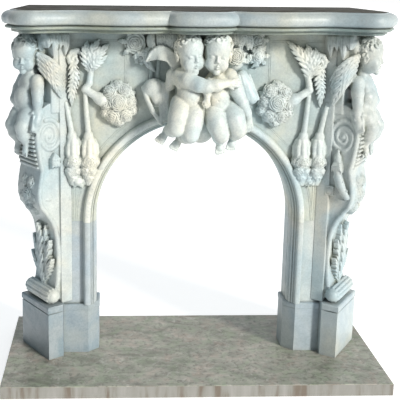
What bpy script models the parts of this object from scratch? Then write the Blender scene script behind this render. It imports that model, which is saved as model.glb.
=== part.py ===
"""Carved marble fireplace mantel on its hearth slab.

A round-arched chimneypiece of white marble: moulded jambs and arch, a frieze carved with leaves, roses and
hanging flower drops, two winged infants at the crown, and canted scroll consoles with a seated infant each.
Metres, +Z up. The viewer stands on the -Y side and the wall is on the +Y side. The origin is the middle of
the hearth slab's underside.

Carving is drawn for the nominal sizes and stretched with the arch, the frieze and the console it sits on.
"""

import math

import bmesh
import bpy
from mathutils import Matrix, Vector

# Clearance left between neighbouring pieces
GAP = 0.0003

# Hearth slab
SLAB_WIDTH = 1.36
SLAB_DEPTH = 0.58
SLAB_THICK = 0.045

# Heights above the slab's top
MANTEL_RISE = 1.265
SHELF_THICK = 0.075
SPRING_RISE = 0.515
JOINT_RISE = 0.505
JAMB_PLINTH_RISE = 0.190
CONSOLE_PLINTH_RISE = 0.202

# Front wall of the mantel
OPENING_HALF = 0.355
FRIEZE_HALF = 0.475
FRONT_THICK = 0.105
FACE_FROM_WALL = 0.310
ARCHIVOLT_WIDE = 0.048
ARCHIVOLT_OUT = 0.023
ARCH_STEPS = 18

# Canted consoles, measured in their own frame: s outward, t along the face
CANT_DEGREES = 55.0
CONSOLE_WIDE = 0.165
CONSOLE_INBOARD = 0.020
PIER_OUT = 0.020
PLINTH_OUT = 0.088
PLINTH_LAP = 0.016
RETURN_THICK = 0.042

# Shelf
SHELF_HALF = 0.670
SHELF_OUT = 0.525

# Carving
ROSE_LOBES = 5
HEAD_TALL = 1.18
CONSOLE_HEAD_TALL = 1.10
CARVING_GRAIN = 0.0030
SPANDREL_TRIANGLES = 950
FRONT_TRIANGLES = 3180
GROUP_TRIANGLES = 1780
CONSOLE_TRIANGLES = 1150
BLOCK_TRIANGLES = 1650

SLAB_TOP = SLAB_THICK
WALL_Y = SLAB_DEPTH / 2
FACE_Y = WALL_Y - FACE_FROM_WALL
BACK_Y = FACE_Y + FRONT_THICK
SPRING_Z = SLAB_TOP + SPRING_RISE
JOINT_Z = SLAB_TOP + JOINT_RISE
JAMB_BASE_Z = SLAB_TOP + JAMB_PLINTH_RISE
PIER_BASE_Z = SLAB_TOP + CONSOLE_PLINTH_RISE
SHELF_TOP_Z = SLAB_TOP + MANTEL_RISE
SHELF_Z = SHELF_TOP_Z - SHELF_THICK

# The heights and half-width that the carving was drawn for
DRAWN_SPRING_Z = 0.560
DRAWN_SHELF_Z = 1.235
DRAWN_PIER_Z = 0.247
DRAWN_HALF = 0.475
DRAWN_WIDE = 0.150
DRAWN_OPENING = 0.355

CANT = math.radians(CANT_DEGREES)
OUTWARD = Vector((math.sin(CANT), -math.cos(CANT), 0))
ALONG = Vector((math.cos(CANT), math.sin(CANT), 0))
CORNER = Vector((FRIEZE_HALF, FACE_Y, 0))

PARTS = bpy.data.collections.new("fireplace_mantel")
CUTTERS = bpy.data.collections.new("fireplace_mantel_cutters")


def clear_scene():
    """Start from an empty scene with the two collections linked."""
    for obj in list(bpy.data.objects):
        bpy.data.objects.remove(obj, do_unlink=True)
    CUTTERS.hide_render = True
    bpy.context.scene.collection.children.link(PARTS)
    bpy.context.scene.collection.children.link(CUTTERS)


def stone(name, colour, roughness):
    """A Principled material for one kind of stone."""
    made = bpy.data.materials.new(name)
    made.use_nodes = True
    surface = made.node_tree.nodes["Principled BSDF"]
    surface.inputs["Base Color"].default_value = (*colour, 1.0)
    surface.inputs["Roughness"].default_value = roughness
    surface.inputs["Metallic"].default_value = 0.0
    return made


def catmull(points, steps):
    """Points along a smooth curve through control points of any dimension."""
    found = []
    for i in range(len(points) - 1):
        before = points[max(i - 1, 0)]
        start, end = points[i], points[i + 1]
        after = points[min(i + 2, len(points) - 1)]
        for k in range(steps):
            u = k / steps
            found.append(
                tuple(
                    0.5 * (2 * b + (c - a) * u + (2 * a - 5 * b + 4 * c - d) * u * u
                           + (3 * b - a - 3 * c + d) * u ** 3)
                    for a, b, c, d in zip(before, start, end, after)
                )
            )
    found.append(tuple(points[-1]))
    return found


def inset(outline, distance):
    """Move each side of a closed plan outline inward; the outline runs anticlockwise."""
    moved = []
    count = len(outline)
    for i, point in enumerate(outline):
        here = Vector(point)
        before = (here - Vector(outline[i - 1])).normalized()
        after = (Vector(outline[(i + 1) % count]) - here).normalized()
        inward = Vector((-before.y - after.y, before.x + after.x))
        lean = max(0.35, inward.length_squared / 4)
        moved.append(tuple(here + inward * (0.5 * distance / lean)))
    return moved


def skin(bm, rings):
    """Skin a run of rings with equal numbers of points and cap both ends."""
    loops = [[bm.verts.new(point) for point in ring] for ring in rings]
    for low, high in zip(loops, loops[1:]):
        for i in range(len(low)):
            j = (i + 1) % len(low)
            bm.faces.new((low[i], low[j], high[j], high[i]))
    bm.faces.new(loops[0][::-1])
    bm.faces.new(loops[-1])


def hull(bm, points):
    """A closed convex body around points."""
    corners = [bm.verts.new(point) for point in points]
    made = bmesh.ops.convex_hull(bm, input=corners)
    spare = {g for g in made["geom_interior"] + made["geom_unused"] if isinstance(g, bmesh.types.BMVert)}
    bmesh.ops.delete(bm, geom=list(spare), context="VERTS")


def mesh_object(name, bm, group=PARTS, side=1):
    """An object from a bmesh, mirrored for the left-hand side where side is -1."""
    if side < 0:
        bmesh.ops.scale(bm, vec=(-1, 1, 1), verts=bm.verts)
    bmesh.ops.recalc_face_normals(bm, faces=bm.faces)
    bmesh.ops.triangulate(bm, faces=[f for f in bm.faces if len(f.verts) > 4])
    mesh = bpy.data.meshes.new(name)
    bm.to_mesh(mesh)
    bm.free()
    obj = bpy.data.objects.new(name, mesh)
    group.objects.link(obj)
    if group is CUTTERS:
        obj.hide_render = True
        obj.display_type = "WIRE"
    return obj


def bake(obj):
    """Replace an object's mesh by its evaluated mesh and drop its modifiers."""
    graph = bpy.context.evaluated_depsgraph_get()
    graph.update()
    mesh = bpy.data.meshes.new_from_object(obj.evaluated_get(graph))
    obj.modifiers.clear()
    obj.data = mesh
    return obj


def combine(obj, other, operation, solver="EXACT"):
    """Boolean one object with another, which is then removed."""
    step = obj.modifiers.new(operation.lower(), "BOOLEAN")
    step.operation = operation
    step.solver = solver
    step.object = other
    bake(obj)
    bpy.data.objects.remove(other, do_unlink=True)
    return obj


def extrude_plan(name, outline, low, high, group=PARTS, side=1, holes=()):
    """A flat plan outline filled as a 2D curve and extruded between two heights."""
    curve = bpy.data.curves.new(name, "CURVE")
    curve.dimensions = "2D"
    curve.fill_mode = "BOTH"
    curve.extrude = (high - low) / 2
    for loop in (outline, *holes):
        spline = curve.splines.new("POLY")
        spline.points.add(len(loop) - 1)
        spline.use_cyclic_u = True
        for point, place in zip(spline.points, loop):
            point.co = (place[0], place[1], 0, 1)
    drawn = bpy.data.objects.new(name + "_outline", curve)
    CUTTERS.objects.link(drawn)
    graph = bpy.context.evaluated_depsgraph_get()
    graph.update()
    flat = bpy.data.meshes.new_from_object(drawn.evaluated_get(graph))
    bpy.data.objects.remove(drawn, do_unlink=True)
    bm = bmesh.new()
    bm.from_mesh(flat)
    bmesh.ops.remove_doubles(bm, verts=bm.verts, dist=0.00001)
    bmesh.ops.translate(bm, verts=bm.verts, vec=(0, 0, (low + high) / 2))
    return mesh_object(name, bm, group, side)


def extrude_front(name, outline, near, far, group=PARTS, side=1, holes=()):
    """As extrude_plan, with the outline drawn in x and z and extruded from y = near to y = far."""
    obj = extrude_plan(name, outline, -far, -near, group, side, holes)
    obj.data.transform(Matrix.Rotation(math.radians(90), 4, "X"))
    return obj


def console_point(s, t, z):
    """World point from a console's own frame: s outward, t along its face, z as drawn."""
    rise = (SHELF_Z - GAP - PIER_BASE_Z) / (DRAWN_SHELF_Z - DRAWN_PIER_Z)
    place = CORNER + OUTWARD * s + ALONG * (t * CONSOLE_WIDE / DRAWN_WIDE - CONSOLE_INBOARD)
    place.z = PIER_BASE_Z + (z - DRAWN_PIER_Z) * rise
    return place


def frieze_point(x, out, z):
    """World point on the carved front: x and z as drawn, out from the face."""
    rise = (SHELF_Z - SPRING_Z) / (DRAWN_SHELF_Z - DRAWN_SPRING_Z)
    share = FRIEZE_HALF / DRAWN_HALF
    return Vector((x * share, FACE_Y - out, SPRING_Z + (z - DRAWN_SPRING_Z) * rise))


def crown_point(x, out, drop):
    """World point in the crowning group: out from the face, drop below the shelf."""
    size = OPENING_HALF / DRAWN_OPENING
    return Vector((x * size, FACE_Y - out, SHELF_Z - GAP - drop * size))


def frame_of(axis):
    """Two unit vectors square to an axis."""
    axis = axis.normalized()
    guide = Vector((0, 0, 1)) if abs(axis.z) < 0.9 else Vector((0, 1, 0))
    first = axis.cross(guide).normalized()
    return first, axis.cross(first).normalized()


def leaf(bm, base, tip, wide, lift, normal):
    """A pointed leaf with a raised midrib, lying from base to tip with its back sunk in the stone."""
    run = tip - base
    across = run.cross(normal).normalized() * (wide / 2)
    normal = normal.normalized()
    middle = base + run * 0.42
    hull(bm, [
        base + normal * lift * 0.3,
        base - normal * lift,
        middle + across - normal * lift * 0.2,
        middle - across - normal * lift * 0.2,
        middle + normal * lift,
        middle - normal * lift,
        tip + normal * lift * 0.55,
        tip - normal * lift * 0.3,
    ])


def limb(bm, start, end, first, last, fine=2):
    """A tapered, round-ended limb."""
    points = []
    for centre, radius in ((start, first), (end, last)):
        ball = bmesh.new()
        bmesh.ops.create_icosphere(ball, subdivisions=fine, radius=radius)
        points += [centre + v.co for v in ball.verts]
        ball.free()
    hull(bm, points)


def ball(bm, centre, radii, fine=2):
    """An ellipsoid."""
    size = Matrix.Diagonal((*radii, 1.0))
    bmesh.ops.create_icosphere(bm, subdivisions=fine, radius=1.0, matrix=Matrix.Translation(centre) @ size)


def tube(bm, points, radii, sides=6):
    """A round moulding along points, with a radius at each."""
    rings = []
    for i, point in enumerate(points):
        ahead = points[min(i + 1, len(points) - 1)] - points[max(i - 1, 0)]
        first, second = frame_of(ahead)
        rings.append([
            point + (first * math.cos(turn) + second * math.sin(turn)) * radii[i]
            for turn in (2 * math.pi * k / sides for k in range(sides))
        ])
    skin(bm, rings)


def rose(bm, centre, radius, normal, high=0.6, turn=0.0):
    """An open rose: a lobed outer ring of petals, a lobed inner ring turned between them, and a bud."""
    first, second = frame_of(normal)
    normal = normal.normalized()
    count = ROSE_LOBES * 2
    rings = []
    for share, lift, wave, shift in (
        (0.72, -0.55, 0.00, 0),
        (1.00, 0.10, 0.10, 0),
        (0.86, 0.42, 0.10, 0),
        (0.58, 0.22, 0.04, 1),
        (0.52, 0.78, 0.12, 1),
        (0.26, 0.62, 0.00, 1),
        (0.14, 1.00, 0.00, 1),
    ):
        ring = []
        for k in range(count):
            angle = turn + 2 * math.pi * k / count
            reach = radius * share * (1 + wave * math.cos(math.pi * (k + shift)))
            around = first * math.cos(angle) + second * math.sin(angle)
            ring.append(centre + around * reach + normal * lift * high * radius)
        rings.append(ring)
    skin(bm, rings)


def soften(obj, triangles):
    """Fuse crossing bodies into one soft skin and thin it to a number of triangles."""
    fuse = obj.modifiers.new("fuse", "REMESH")
    fuse.mode = "VOXEL"
    fuse.voxel_size = CARVING_GRAIN
    smooth = obj.modifiers.new("soften", "SMOOTH")
    smooth.factor = 0.4
    smooth.iterations = 2
    return thin_out(bake(obj), triangles)


def thin_out(obj, triangles):
    """Collapse the least telling edges until about a number of triangles is left."""
    faces = sum(len(face.vertices) - 2 for face in obj.data.polygons)
    thin = obj.modifiers.new("thin", "DECIMATE")
    thin.ratio = min(1.0, triangles / faces)
    thin.use_collapse_triangulate = True
    return drop_crumbs(bake(obj))


def drop_crumbs(obj, least=12):
    """Remove loose scraps that thinning or cutting leaves, each with too few points to be a form."""
    bm = bmesh.new()
    bm.from_mesh(obj.data)
    left = set(bm.verts)
    scraps = []
    while left:
        body = {left.pop()}
        edge = list(body)
        while edge:
            found = {e.other_vert(v) for v in edge for e in v.link_edges} - body
            body |= found
            edge = list(found)
        left -= body
        if len(body) < least:
            scraps += body
    bmesh.ops.delete(bm, geom=scraps, context="VERTS")
    bm.to_mesh(obj.data)
    bm.free()
    return obj


def colour(obj, material, smooth=False):
    """Give an object its one material and its shading."""
    obj.data.materials.clear()
    obj.data.materials.append(material)
    obj.data.shade_flat()
    if smooth:
        obj.data.shade_smooth()
        obj.data.set_sharp_from_angle(angle=math.radians(35))
    return obj


def make_slab():
    """The hearth slab, with a softened top edge."""
    half, deep = SLAB_WIDTH / 2, SLAB_DEPTH / 2
    outline = [(-half, -deep), (half, -deep), (half, deep), (-half, deep)]
    bm = bmesh.new()
    skin(bm, [
        [(*p, 0) for p in inset(outline, 0.0015)],
        [(*p, 0.0015) for p in outline],
        [(*p, SLAB_THICK - 0.002) for p in outline],
        [(*p, SLAB_THICK) for p in inset(outline, 0.002)],
    ])
    return mesh_object("hearth_slab", bm)


def jamb_profile():
    """Plan of the moulding on the opening's edge: distance from the opening, and out from the face."""
    wide, out = ARCHIVOLT_WIDE, ARCHIVOLT_OUT
    return [
        (0.0, -0.45 * out),
        (0.12 * wide, -0.45 * out),
        (0.13 * wide, 0.0),
        (0.25 * wide, 0.0),
        (0.28 * wide, 0.35 * out),
        (0.38 * wide, 0.42 * out),
        (0.42 * wide, 0.70 * out),
        (0.58 * wide, out),
        (0.80 * wide, out),
        (0.94 * wide, 0.65 * out),
        (wide, 0.0),
    ]


def plinth(name, outline, seam, low, high, side, groove=0.0):
    """A plinth block with softened edges and a groove below its cap, plain where it meets its neighbour."""
    rise = high - low
    bm = bmesh.new()
    skin(bm, [
        [(seam if old[0] == seam else new[0], new[1], z) for old, new in zip(outline, inset(outline, away))]
        for z, away in (
            (low, 0.002),
            (high - 0.14 * rise, 0.002),
            (high - 0.125 * rise, 0.002 + groove),
            (high - 0.11 * rise, 0.000),
            (high - 0.02 * rise, 0.000),
            (high, 0.004),
        )
    ])
    return mesh_object(name, bm, side=side)


def make_jamb_plinth(side, name):
    seam = FRIEZE_HALF - GAP
    inner = OPENING_HALF - 0.012
    front = FACE_Y - 0.015
    outline = [
        (inner, BACK_Y),
        (inner, front + 0.038),
        (inner + 0.041, front),
        (seam, front),
        (seam, BACK_Y),
    ]
    return plinth(name, outline, seam, SLAB_TOP + GAP, JAMB_BASE_Z, side)


def make_console_plinth(side, name):
    seam = FRIEZE_HALF + GAP
    front_inner = CORNER + OUTWARD * PLINTH_OUT - ALONG * (CONSOLE_INBOARD + PLINTH_LAP)
    front_outer = CORNER + OUTWARD * PLINTH_OUT + ALONG * (CONSOLE_WIDE - CONSOLE_INBOARD + PLINTH_LAP)
    slope = math.cos(CANT) / math.sin(CANT)
    outer_x = return_outer() + 0.010
    outer_y = front_outer.y + (front_outer.x - outer_x) * slope
    outline = [
        (seam, front_inner.y + (front_inner.x - seam) * slope),
        (front_inner.x, front_inner.y),
        (front_outer.x, front_outer.y),
        (outer_x, outer_y),
        (outer_x, WALL_Y),
        (outer_x - RETURN_THICK - 0.02, WALL_Y),
        (outer_x - RETURN_THICK - 0.02, BACK_Y + 0.05),
        (seam, BACK_Y + 0.05),
    ]
    return plinth(name, outline, seam, SLAB_TOP + GAP, PIER_BASE_Z - GAP, side, 0.007)


def make_jamb(side, name):
    """A jamb shaft with the opening's moulding running up its inner edge."""
    outline = [(OPENING_HALF, BACK_Y)]
    outline += [(OPENING_HALF + away, FACE_Y - out) for away, out in jamb_profile()]
    outline += [(FRIEZE_HALF - GAP, FACE_Y), (FRIEZE_HALF - GAP, BACK_Y)]
    return extrude_plan(name, outline, JAMB_BASE_Z + GAP, JOINT_Z - GAP, side=side)


def arch_line(radius, steps, low):
    """Points up one side, around the arch and down the other."""
    points = [(radius, low)]
    for k in range(steps + 1):
        turn = math.pi * k / steps
        points.append((radius * math.cos(turn), SPRING_Z + radius * math.sin(turn)))
    points.append((-radius, low))
    return points


def make_archivolt(group, grow=0.0, name="archivolt"):
    """The moulding swept around the arch, through the front wall's whole depth."""
    profile = [(0.0, -FRONT_THICK)] + jamb_profile() + [(ARCHIVOLT_WIDE, -FRONT_THICK)]
    turns = [math.pi * k / ARCH_STEPS for k in range(ARCH_STEPS + 1)]
    stations = [((1.0, 0.0), JOINT_Z)]
    stations += [((math.cos(turn), math.sin(turn)), SPRING_Z) for turn in turns]
    stations += [((-1.0, 0.0), JOINT_Z)]
    middle = ARCHIVOLT_WIDE / 2
    rings = []
    for (cosine, sine), base in stations:
        ring = []
        for away, out in profile:
            spread = middle + (away - middle) * (1 + grow / middle)
            reach = OPENING_HALF + spread
            ring.append((reach * cosine, FACE_Y - out - (grow if out > -0.02 else -grow), base + reach * sine))
        rings.append(ring)
    bm = bmesh.new()
    skin(bm, rings)
    return mesh_object(name, bm, group)


def border_lines(side):
    """A sunk line around each spandrel: an outline that follows the arch, and the same outline inset."""
    strip = FRIEZE_HALF - OPENING_HALF - ARCHIVOLT_WIDE
    radius = OPENING_HALF + ARCHIVOLT_WIDE + 0.28 * strip
    outer = FRIEZE_HALF - 0.30 * strip
    line = 0.0625 * strip
    inner = 0.52 * FRIEZE_HALF
    top = SHELF_Z - 0.030
    start = math.acos(min(1.0, inner / radius))
    low = min(JOINT_Z + 0.020, SPRING_Z - 0.005)
    outline = [(outer, low), (outer, top), (inner, top)]
    count = 10
    for k in range(count + 1):
        turn = start * (1 - k / count)
        outline.append((radius * math.cos(turn), SPRING_Z + radius * math.sin(turn)))
    outline.append((radius, low))
    rings = [inset(outline, 0.0), inset(outline, line)]
    return extrude_front("border", rings[0], FACE_Y - 0.01, FACE_Y + 0.0025, CUTTERS, side, (rings[1],))


def drop(bm, x, z, long, wide):
    """A hanging flower drop: two roses, a bud below and leaves around."""
    out = Vector((0, -1, 0))
    rose(bm, frieze_point(x, 0.010, z), wide, out, 0.85, 0.3)
    rose(bm, frieze_point(x + 0.004, 0.008, z - 0.40 * long), 0.86 * wide, out, 0.85, 0.9)
    rose(bm, frieze_point(x + 0.008, 0.006, z - 0.72 * long), 0.62 * wide, out, 0.85, 0.1)
    for shift, fall in ((-0.9, 0.15), (0.95, 0.2), (-0.8, 0.55), (0.85, 0.6)):
        base = frieze_point(x, 0.003, z - fall * long)
        tip = frieze_point(x + shift * 1.45 * wide, 0.004, z - (fall + 0.20) * long)
        leaf(bm, base, tip, 0.62 * wide, 0.006, out)


def spandrel_carving(side):
    """Leaf burst, hanging leaf, horns, rose bouquet and flower drops on one side of the arch."""
    out = Vector((0, -1, 0))
    bm = bmesh.new()
    # Leaf burst under the shelf, fanning toward the centre, with a curl at its outer side
    burst = (0.392, 1.120)
    for turn, long, wide in (
        (48, 0.060, 0.026), (72, 0.078, 0.030), (96, 0.090, 0.032), (120, 0.098, 0.034),
        (144, 0.098, 0.034), (168, 0.080, 0.030), (192, 0.058, 0.024),
    ):
        angle = math.radians(turn)
        tip = frieze_point(burst[0] + long * math.cos(angle), 0.018, burst[1] + 0.86 * long * math.sin(angle))
        leaf(bm, frieze_point(burst[0], 0.002, burst[1]), tip, wide, 0.014, out)
    rose(bm, frieze_point(burst[0] + 0.040, 0.006, burst[1] + 0.034), 0.026, out, 0.7)
    # Hanging leaf beside the console
    for high, shift in ((1.140, 0.000), (1.100, -0.012), (1.055, 0.004), (1.012, -0.008)):
        base = frieze_point(0.447, 0.003, high)
        leaf(bm, base, frieze_point(0.449 + shift, 0.020, high - 0.062), 0.034, 0.013, out)
    # Horn that turns inward and ends in the bouquet
    horn = [(0.388, 0.016, 1.118), (0.402, 0.020, 1.070), (0.404, 0.020, 1.030), (0.378, 0.020, 1.004),
            (0.338, 0.020, 0.986)]
    path = [frieze_point(*p) for p in catmull(horn, 2)]
    tube(bm, path, [0.017 - 0.0006 * i for i in range(len(path))])
    tube(bm, [frieze_point(0.344, 0.020, 0.990), frieze_point(0.326, 0.022, 0.982)], (0.020, 0.026), 8)
    # Bouquet
    middle = (0.272, 0.972)
    hull(bm, [frieze_point(middle[0] + 0.054 * math.cos(a), o, middle[1] + 0.066 * math.sin(a))
              for a in (math.pi * k / 5 for k in range(10)) for o in (-0.004, 0.018)])
    for x, z, radius, o in ((0.000, 0.004, 0.032, 0.034), (0.030, 0.040, 0.027, 0.022), (-0.030, 0.042, 0.026, 0.022),
                            (-0.038, -0.014, 0.025, 0.020), (0.030, -0.036, 0.026, 0.022),
                            (-0.012, -0.056, 0.024, 0.018)):
        lean = Vector((side * 0 + x * 6, -1, z * 5))
        rose(bm, frieze_point(middle[0] + x, o, middle[1] + z), radius, lean, 0.75, x * 20)
    for turn in (20, 95, 150, 205, 255, 310):
        angle = math.radians(turn)
        base = frieze_point(middle[0] + 0.03 * math.cos(angle), 0.004, middle[1] + 0.04 * math.sin(angle))
        tip = frieze_point(middle[0] + 0.076 * math.cos(angle), 0.008, middle[1] + 0.088 * math.sin(angle))
        leaf(bm, base, tip, 0.030, 0.009, out)
    # Two hanging stems with collars and flower drops, meeting in a ball or a daisy
    for stem, x, z, long, wide in (
        (((0.404, 0.012, 1.040), (0.392, 0.014, 0.970), (0.391, 0.014, 0.880)), 0.393, 0.836, 0.115, 0.027),
        (((0.462, 0.010, 0.990), (0.446, 0.014, 0.930), (0.438, 0.014, 0.874)), 0.441, 0.832, 0.105, 0.026),
    ):
        path = [frieze_point(*p) for p in catmull(stem, 2)]
        tube(bm, path, [0.0085] * len(path))
        foot = path[-1]
        tube(bm, [foot + Vector((0, 0, 0.006)), foot - Vector((0, 0, 0.018))], (0.011, 0.019), 8)
        drop(bm, x, z, long, wide)
    if side > 0:
        rose(bm, frieze_point(0.428, 0.006, 0.712), 0.028, out, 0.6, 0.2)
    else:
        ball(bm, frieze_point(0.428, 0.012, 0.716), (0.024, 0.018, 0.022), 2)
    # Roses on the frieze beside the crowning group
    for x, z, radius in (((0.235, 1.190, 0.030), (0.222, 1.128, 0.027)) if side > 0 else ((0.218, 1.188, 0.036),)):
        rose(bm, frieze_point(x, 0.008, z), radius, out, 0.7, 0.4)
        leaf(bm, frieze_point(x, 0.002, z), frieze_point(x + 1.6 * radius, 0.006, z - 0.5 * radius), radius, 0.009, out)
    return soften(mesh_object("spandrel_carving", bm, CUTTERS, side), SPANDREL_TRIANGLES)


def make_arch_front():
    """Frieze, spandrels and arch carved from one slab."""
    edge = OPENING_HALF + 0.6 * ARCHIVOLT_WIDE
    outline = [(FRIEZE_HALF - GAP, JOINT_Z), (FRIEZE_HALF - GAP, SHELF_Z - GAP)]
    outline += [(-FRIEZE_HALF + GAP, SHELF_Z - GAP), (-FRIEZE_HALF + GAP, JOINT_Z)]
    outline += arch_line(edge, ARCH_STEPS, JOINT_Z)[::-1]
    wall = extrude_front("arch_front", outline, FACE_Y, BACK_Y)
    combine(wall, make_archivolt(CUTTERS), "UNION")
    for side in (1, -1):
        combine(wall, border_lines(side), "DIFFERENCE")
        combine(wall, spandrel_carving(side), "UNION")
    return thin_out(wall, FRONT_TRIANGLES)


def infant_head(bm, place, tall=1.0):
    """A round infant's head as drawn shapes: skull, cheeks, chin, nose and curls. place maps local points."""
    shapes = [((0, 0, 0.010), (0.045, 0.045, 0.047)), ((0, 0.016, -0.022), (0.036, 0.034, 0.036))]
    for turn in (-1, 1):
        shapes.append(((turn * 0.018, 0.034, -0.028), (0.016, 0.015, 0.016)))
        shapes.append(((turn * 0.044, -0.002, -0.010), (0.007, 0.010, 0.012)))
    shapes.append(((0, 0.042, -0.052), (0.012, 0.011, 0.011)))
    shapes.append(((0, 0.051, -0.018), (0.007, 0.009, 0.010)))
    shapes.append(((0, 0.040, 0.014), (0.030, 0.010, 0.014)))
    for k in range(9):
        turn = math.pi * (k / 8.0)
        shapes.append(((0.042 * math.cos(turn), 0.012, 0.020 + 0.034 * math.sin(turn)), (0.013, 0.015, 0.013)))
    for k in range(8):
        turn = 2 * math.pi * k / 8
        shapes.append(((0.030 * math.cos(turn), -0.022 + 0.020 * math.sin(turn), 0.036), (0.014, 0.014, 0.014)))
    for (x, y, z), (wide, deep, high) in shapes:
        ball(bm, place(x, y, tall * z), (wide, deep, tall * high))


def head_frame(centre, facing, tilt=0.0):
    """A mapping from local head points (right, forward, up) to world points."""
    forward = facing.normalized()
    right = forward.cross(Vector((0, 0, 1))).normalized()
    up = right.cross(forward).normalized()
    lean = Matrix.Rotation(tilt, 3, forward)
    right, up = lean @ right, lean @ up
    return lambda x, y, z: centre + right * x + forward * y + up * z


def make_keystone():
    """The crowning pair of infants, carved from one block with wings, drapery and roses."""
    bm = bmesh.new()
    infant_head(bm, head_frame(crown_point(-0.040, 0.104, 0.062), Vector((0.45, -1, -0.10)), -0.10), HEAD_TALL)
    infant_head(bm, head_frame(crown_point(0.053, 0.106, 0.063), Vector((-0.08, -1, -0.06)), 0.06), HEAD_TALL)
    for x, belly, hips in ((-0.046, -0.036, -0.046), (0.056, 0.056, 0.066)):
        limb(bm, crown_point(x, 0.085, 0.128), crown_point(x, 0.098, 0.165), 0.032, 0.045)
        ball(bm, crown_point(belly, 0.110, 0.205), (0.048, 0.046, 0.046))
        ball(bm, crown_point(hips, 0.100, 0.246), (0.052, 0.046, 0.040))
    for path in (
        ((-0.066, 0.106, 0.134, 0.027), (0.000, 0.156, 0.164, 0.024), (0.078, 0.156, 0.160, 0.017)),
        ((0.022, 0.135, 0.160, 0.018), (0.018, 0.156, 0.198, 0.013), (0.017, 0.158, 0.216, 0.011)),
        ((0.102, 0.094, 0.142, 0.028), (0.132, 0.102, 0.214, 0.022), (0.158, 0.078, 0.282, 0.016)),
        ((-0.096, 0.080, 0.140, 0.025), (-0.110, 0.070, 0.200, 0.020), (-0.112, 0.076, 0.250, 0.016)),
        ((-0.062, 0.104, 0.236, 0.037), (-0.082, 0.148, 0.312, 0.032), (-0.112, 0.100, 0.338, 0.022),
         (-0.132, 0.106, 0.372, 0.016)),
        ((-0.018, 0.106, 0.246, 0.036), (-0.036, 0.150, 0.338, 0.032), (-0.068, 0.100, 0.364, 0.022),
         (-0.086, 0.106, 0.394, 0.016)),
        ((0.036, 0.106, 0.258, 0.036), (0.066, 0.150, 0.338, 0.032), (0.070, 0.100, 0.372, 0.022),
         (0.073, 0.106, 0.408, 0.016)),
        ((0.104, 0.104, 0.252, 0.036), (0.126, 0.146, 0.320, 0.032), (0.122, 0.098, 0.356, 0.022),
         (0.120, 0.106, 0.400, 0.016)),
        ((-0.106, 0.048, 0.120, 0.014), (-0.142, 0.040, 0.150, 0.014), (-0.146, 0.040, 0.190, 0.012)),
        ((-0.180, 0.030, 0.220, 0.014), (-0.148, 0.060, 0.276, 0.014), (-0.112, 0.088, 0.330, 0.012)),
        ((0.104, 0.048, 0.140, 0.016), (0.146, 0.036, 0.160, 0.016), (0.166, 0.034, 0.190, 0.018)),
    ):
        for start, end in zip(path, path[1:]):
            limb(bm, crown_point(*start[:3]), crown_point(*end[:3]), start[3], end[3])
    ball(bm, crown_point(-0.158, 0.026, 0.200), (0.031, 0.030, 0.040))
    ball(bm, crown_point(0.166, 0.026, 0.200), (0.028, 0.030, 0.044))
    hull(bm, [crown_point(x, o, d) for x, d in ((-0.13, 0.02), (0.13, 0.02), (0.12, 0.26), (0.08, 0.33),
                                                (0.03, 0.375), (-0.03, 0.375), (-0.08, 0.33), (-0.12, 0.26))
              for o in (0.0, 0.060)])
    hull(bm, [crown_point(x, o, d) for x, d in ((-0.035, 0.25), (0.035, 0.25), (0.030, 0.375), (-0.020, 0.375))
              for o in (0.0, 0.105)])
    out = Vector((0, -1, 0))
    for root, tips in (
        ((-0.070, 0.140), ((-0.178, 0.098), (-0.166, 0.060), (-0.146, 0.030), (-0.112, 0.014))),
        ((0.080, 0.130), ((0.186, 0.080), (0.180, 0.044), (0.158, 0.018), (0.118, 0.012))),
    ):
        for k, tip in enumerate(tips):
            leaf(bm, crown_point(root[0], 0.045, root[1]), crown_point(tip[0], 0.030 + 0.004 * k, tip[1]),
                 0.040, 0.016, out)
    rose(bm, crown_point(0.124, 0.062, 0.078), 0.028, out, 0.7)
    group = soften(mesh_object("keystone_putti", bm), GROUP_TRIANGLES)
    # Cut the back clear of the frieze and of the arch moulding, and the top clear of the shelf
    far = 2 * SLAB_WIDTH
    outline = [(-far, FACE_Y - GAP), (far, FACE_Y - GAP), (far, far), (-far, far)]
    combine(group, extrude_plan("clear_wall", outline, SPRING_Z + OPENING_HALF, 2 * SHELF_Z, CUTTERS), "DIFFERENCE")
    outline = [(-far, -far), (far, -far), (far, far), (-far, far)]
    combine(group, extrude_plan("clear_shelf", outline, SHELF_Z - GAP, 2 * SHELF_Z, CUTTERS), "DIFFERENCE")
    combine(group, make_archivolt(CUTTERS, 0.0006, "clear_arch"), "DIFFERENCE")
    return group


def pier_outer(s):
    """Plan point on the pier's outer side, s out from the frieze corner."""
    return CORNER + OUTWARD * s + ALONG * (CONSOLE_WIDE - CONSOLE_INBOARD)


def return_outer():
    """The side return's outer face, measured across."""
    return pier_outer(PIER_OUT).x - 0.002


def scroll_outline():
    """Side view of the scroll console, from its foot up: s out from the frieze corner, z as drawn."""
    lower = catmull([(0.012, 0.2478), (0.028, 0.262), (0.042, 0.300), (0.036, 0.350), (0.034, 0.440), (0.042, 0.520),
                     (0.064, 0.572), (0.100, 0.620), (0.108, 0.665), (0.102, 0.715), (0.094, 0.752)], 2)
    ribs = []
    count = 9
    for k in range(count + 1):
        z = 0.762 + 0.150 * k / count
        s = 0.096 + 0.020 * math.sin(math.pi * 0.62 * (k / count))
        ribs += [(s - 0.004, z - 0.006), (s + 0.003, z + 0.002)]
    upper = catmull([(0.110, 0.928), (0.092, 0.962), (0.060, 0.985), (0.012, 0.990)], 2)
    return lower + ribs + upper + [(-0.010, 0.990), (-0.010, 0.2478)]


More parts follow.
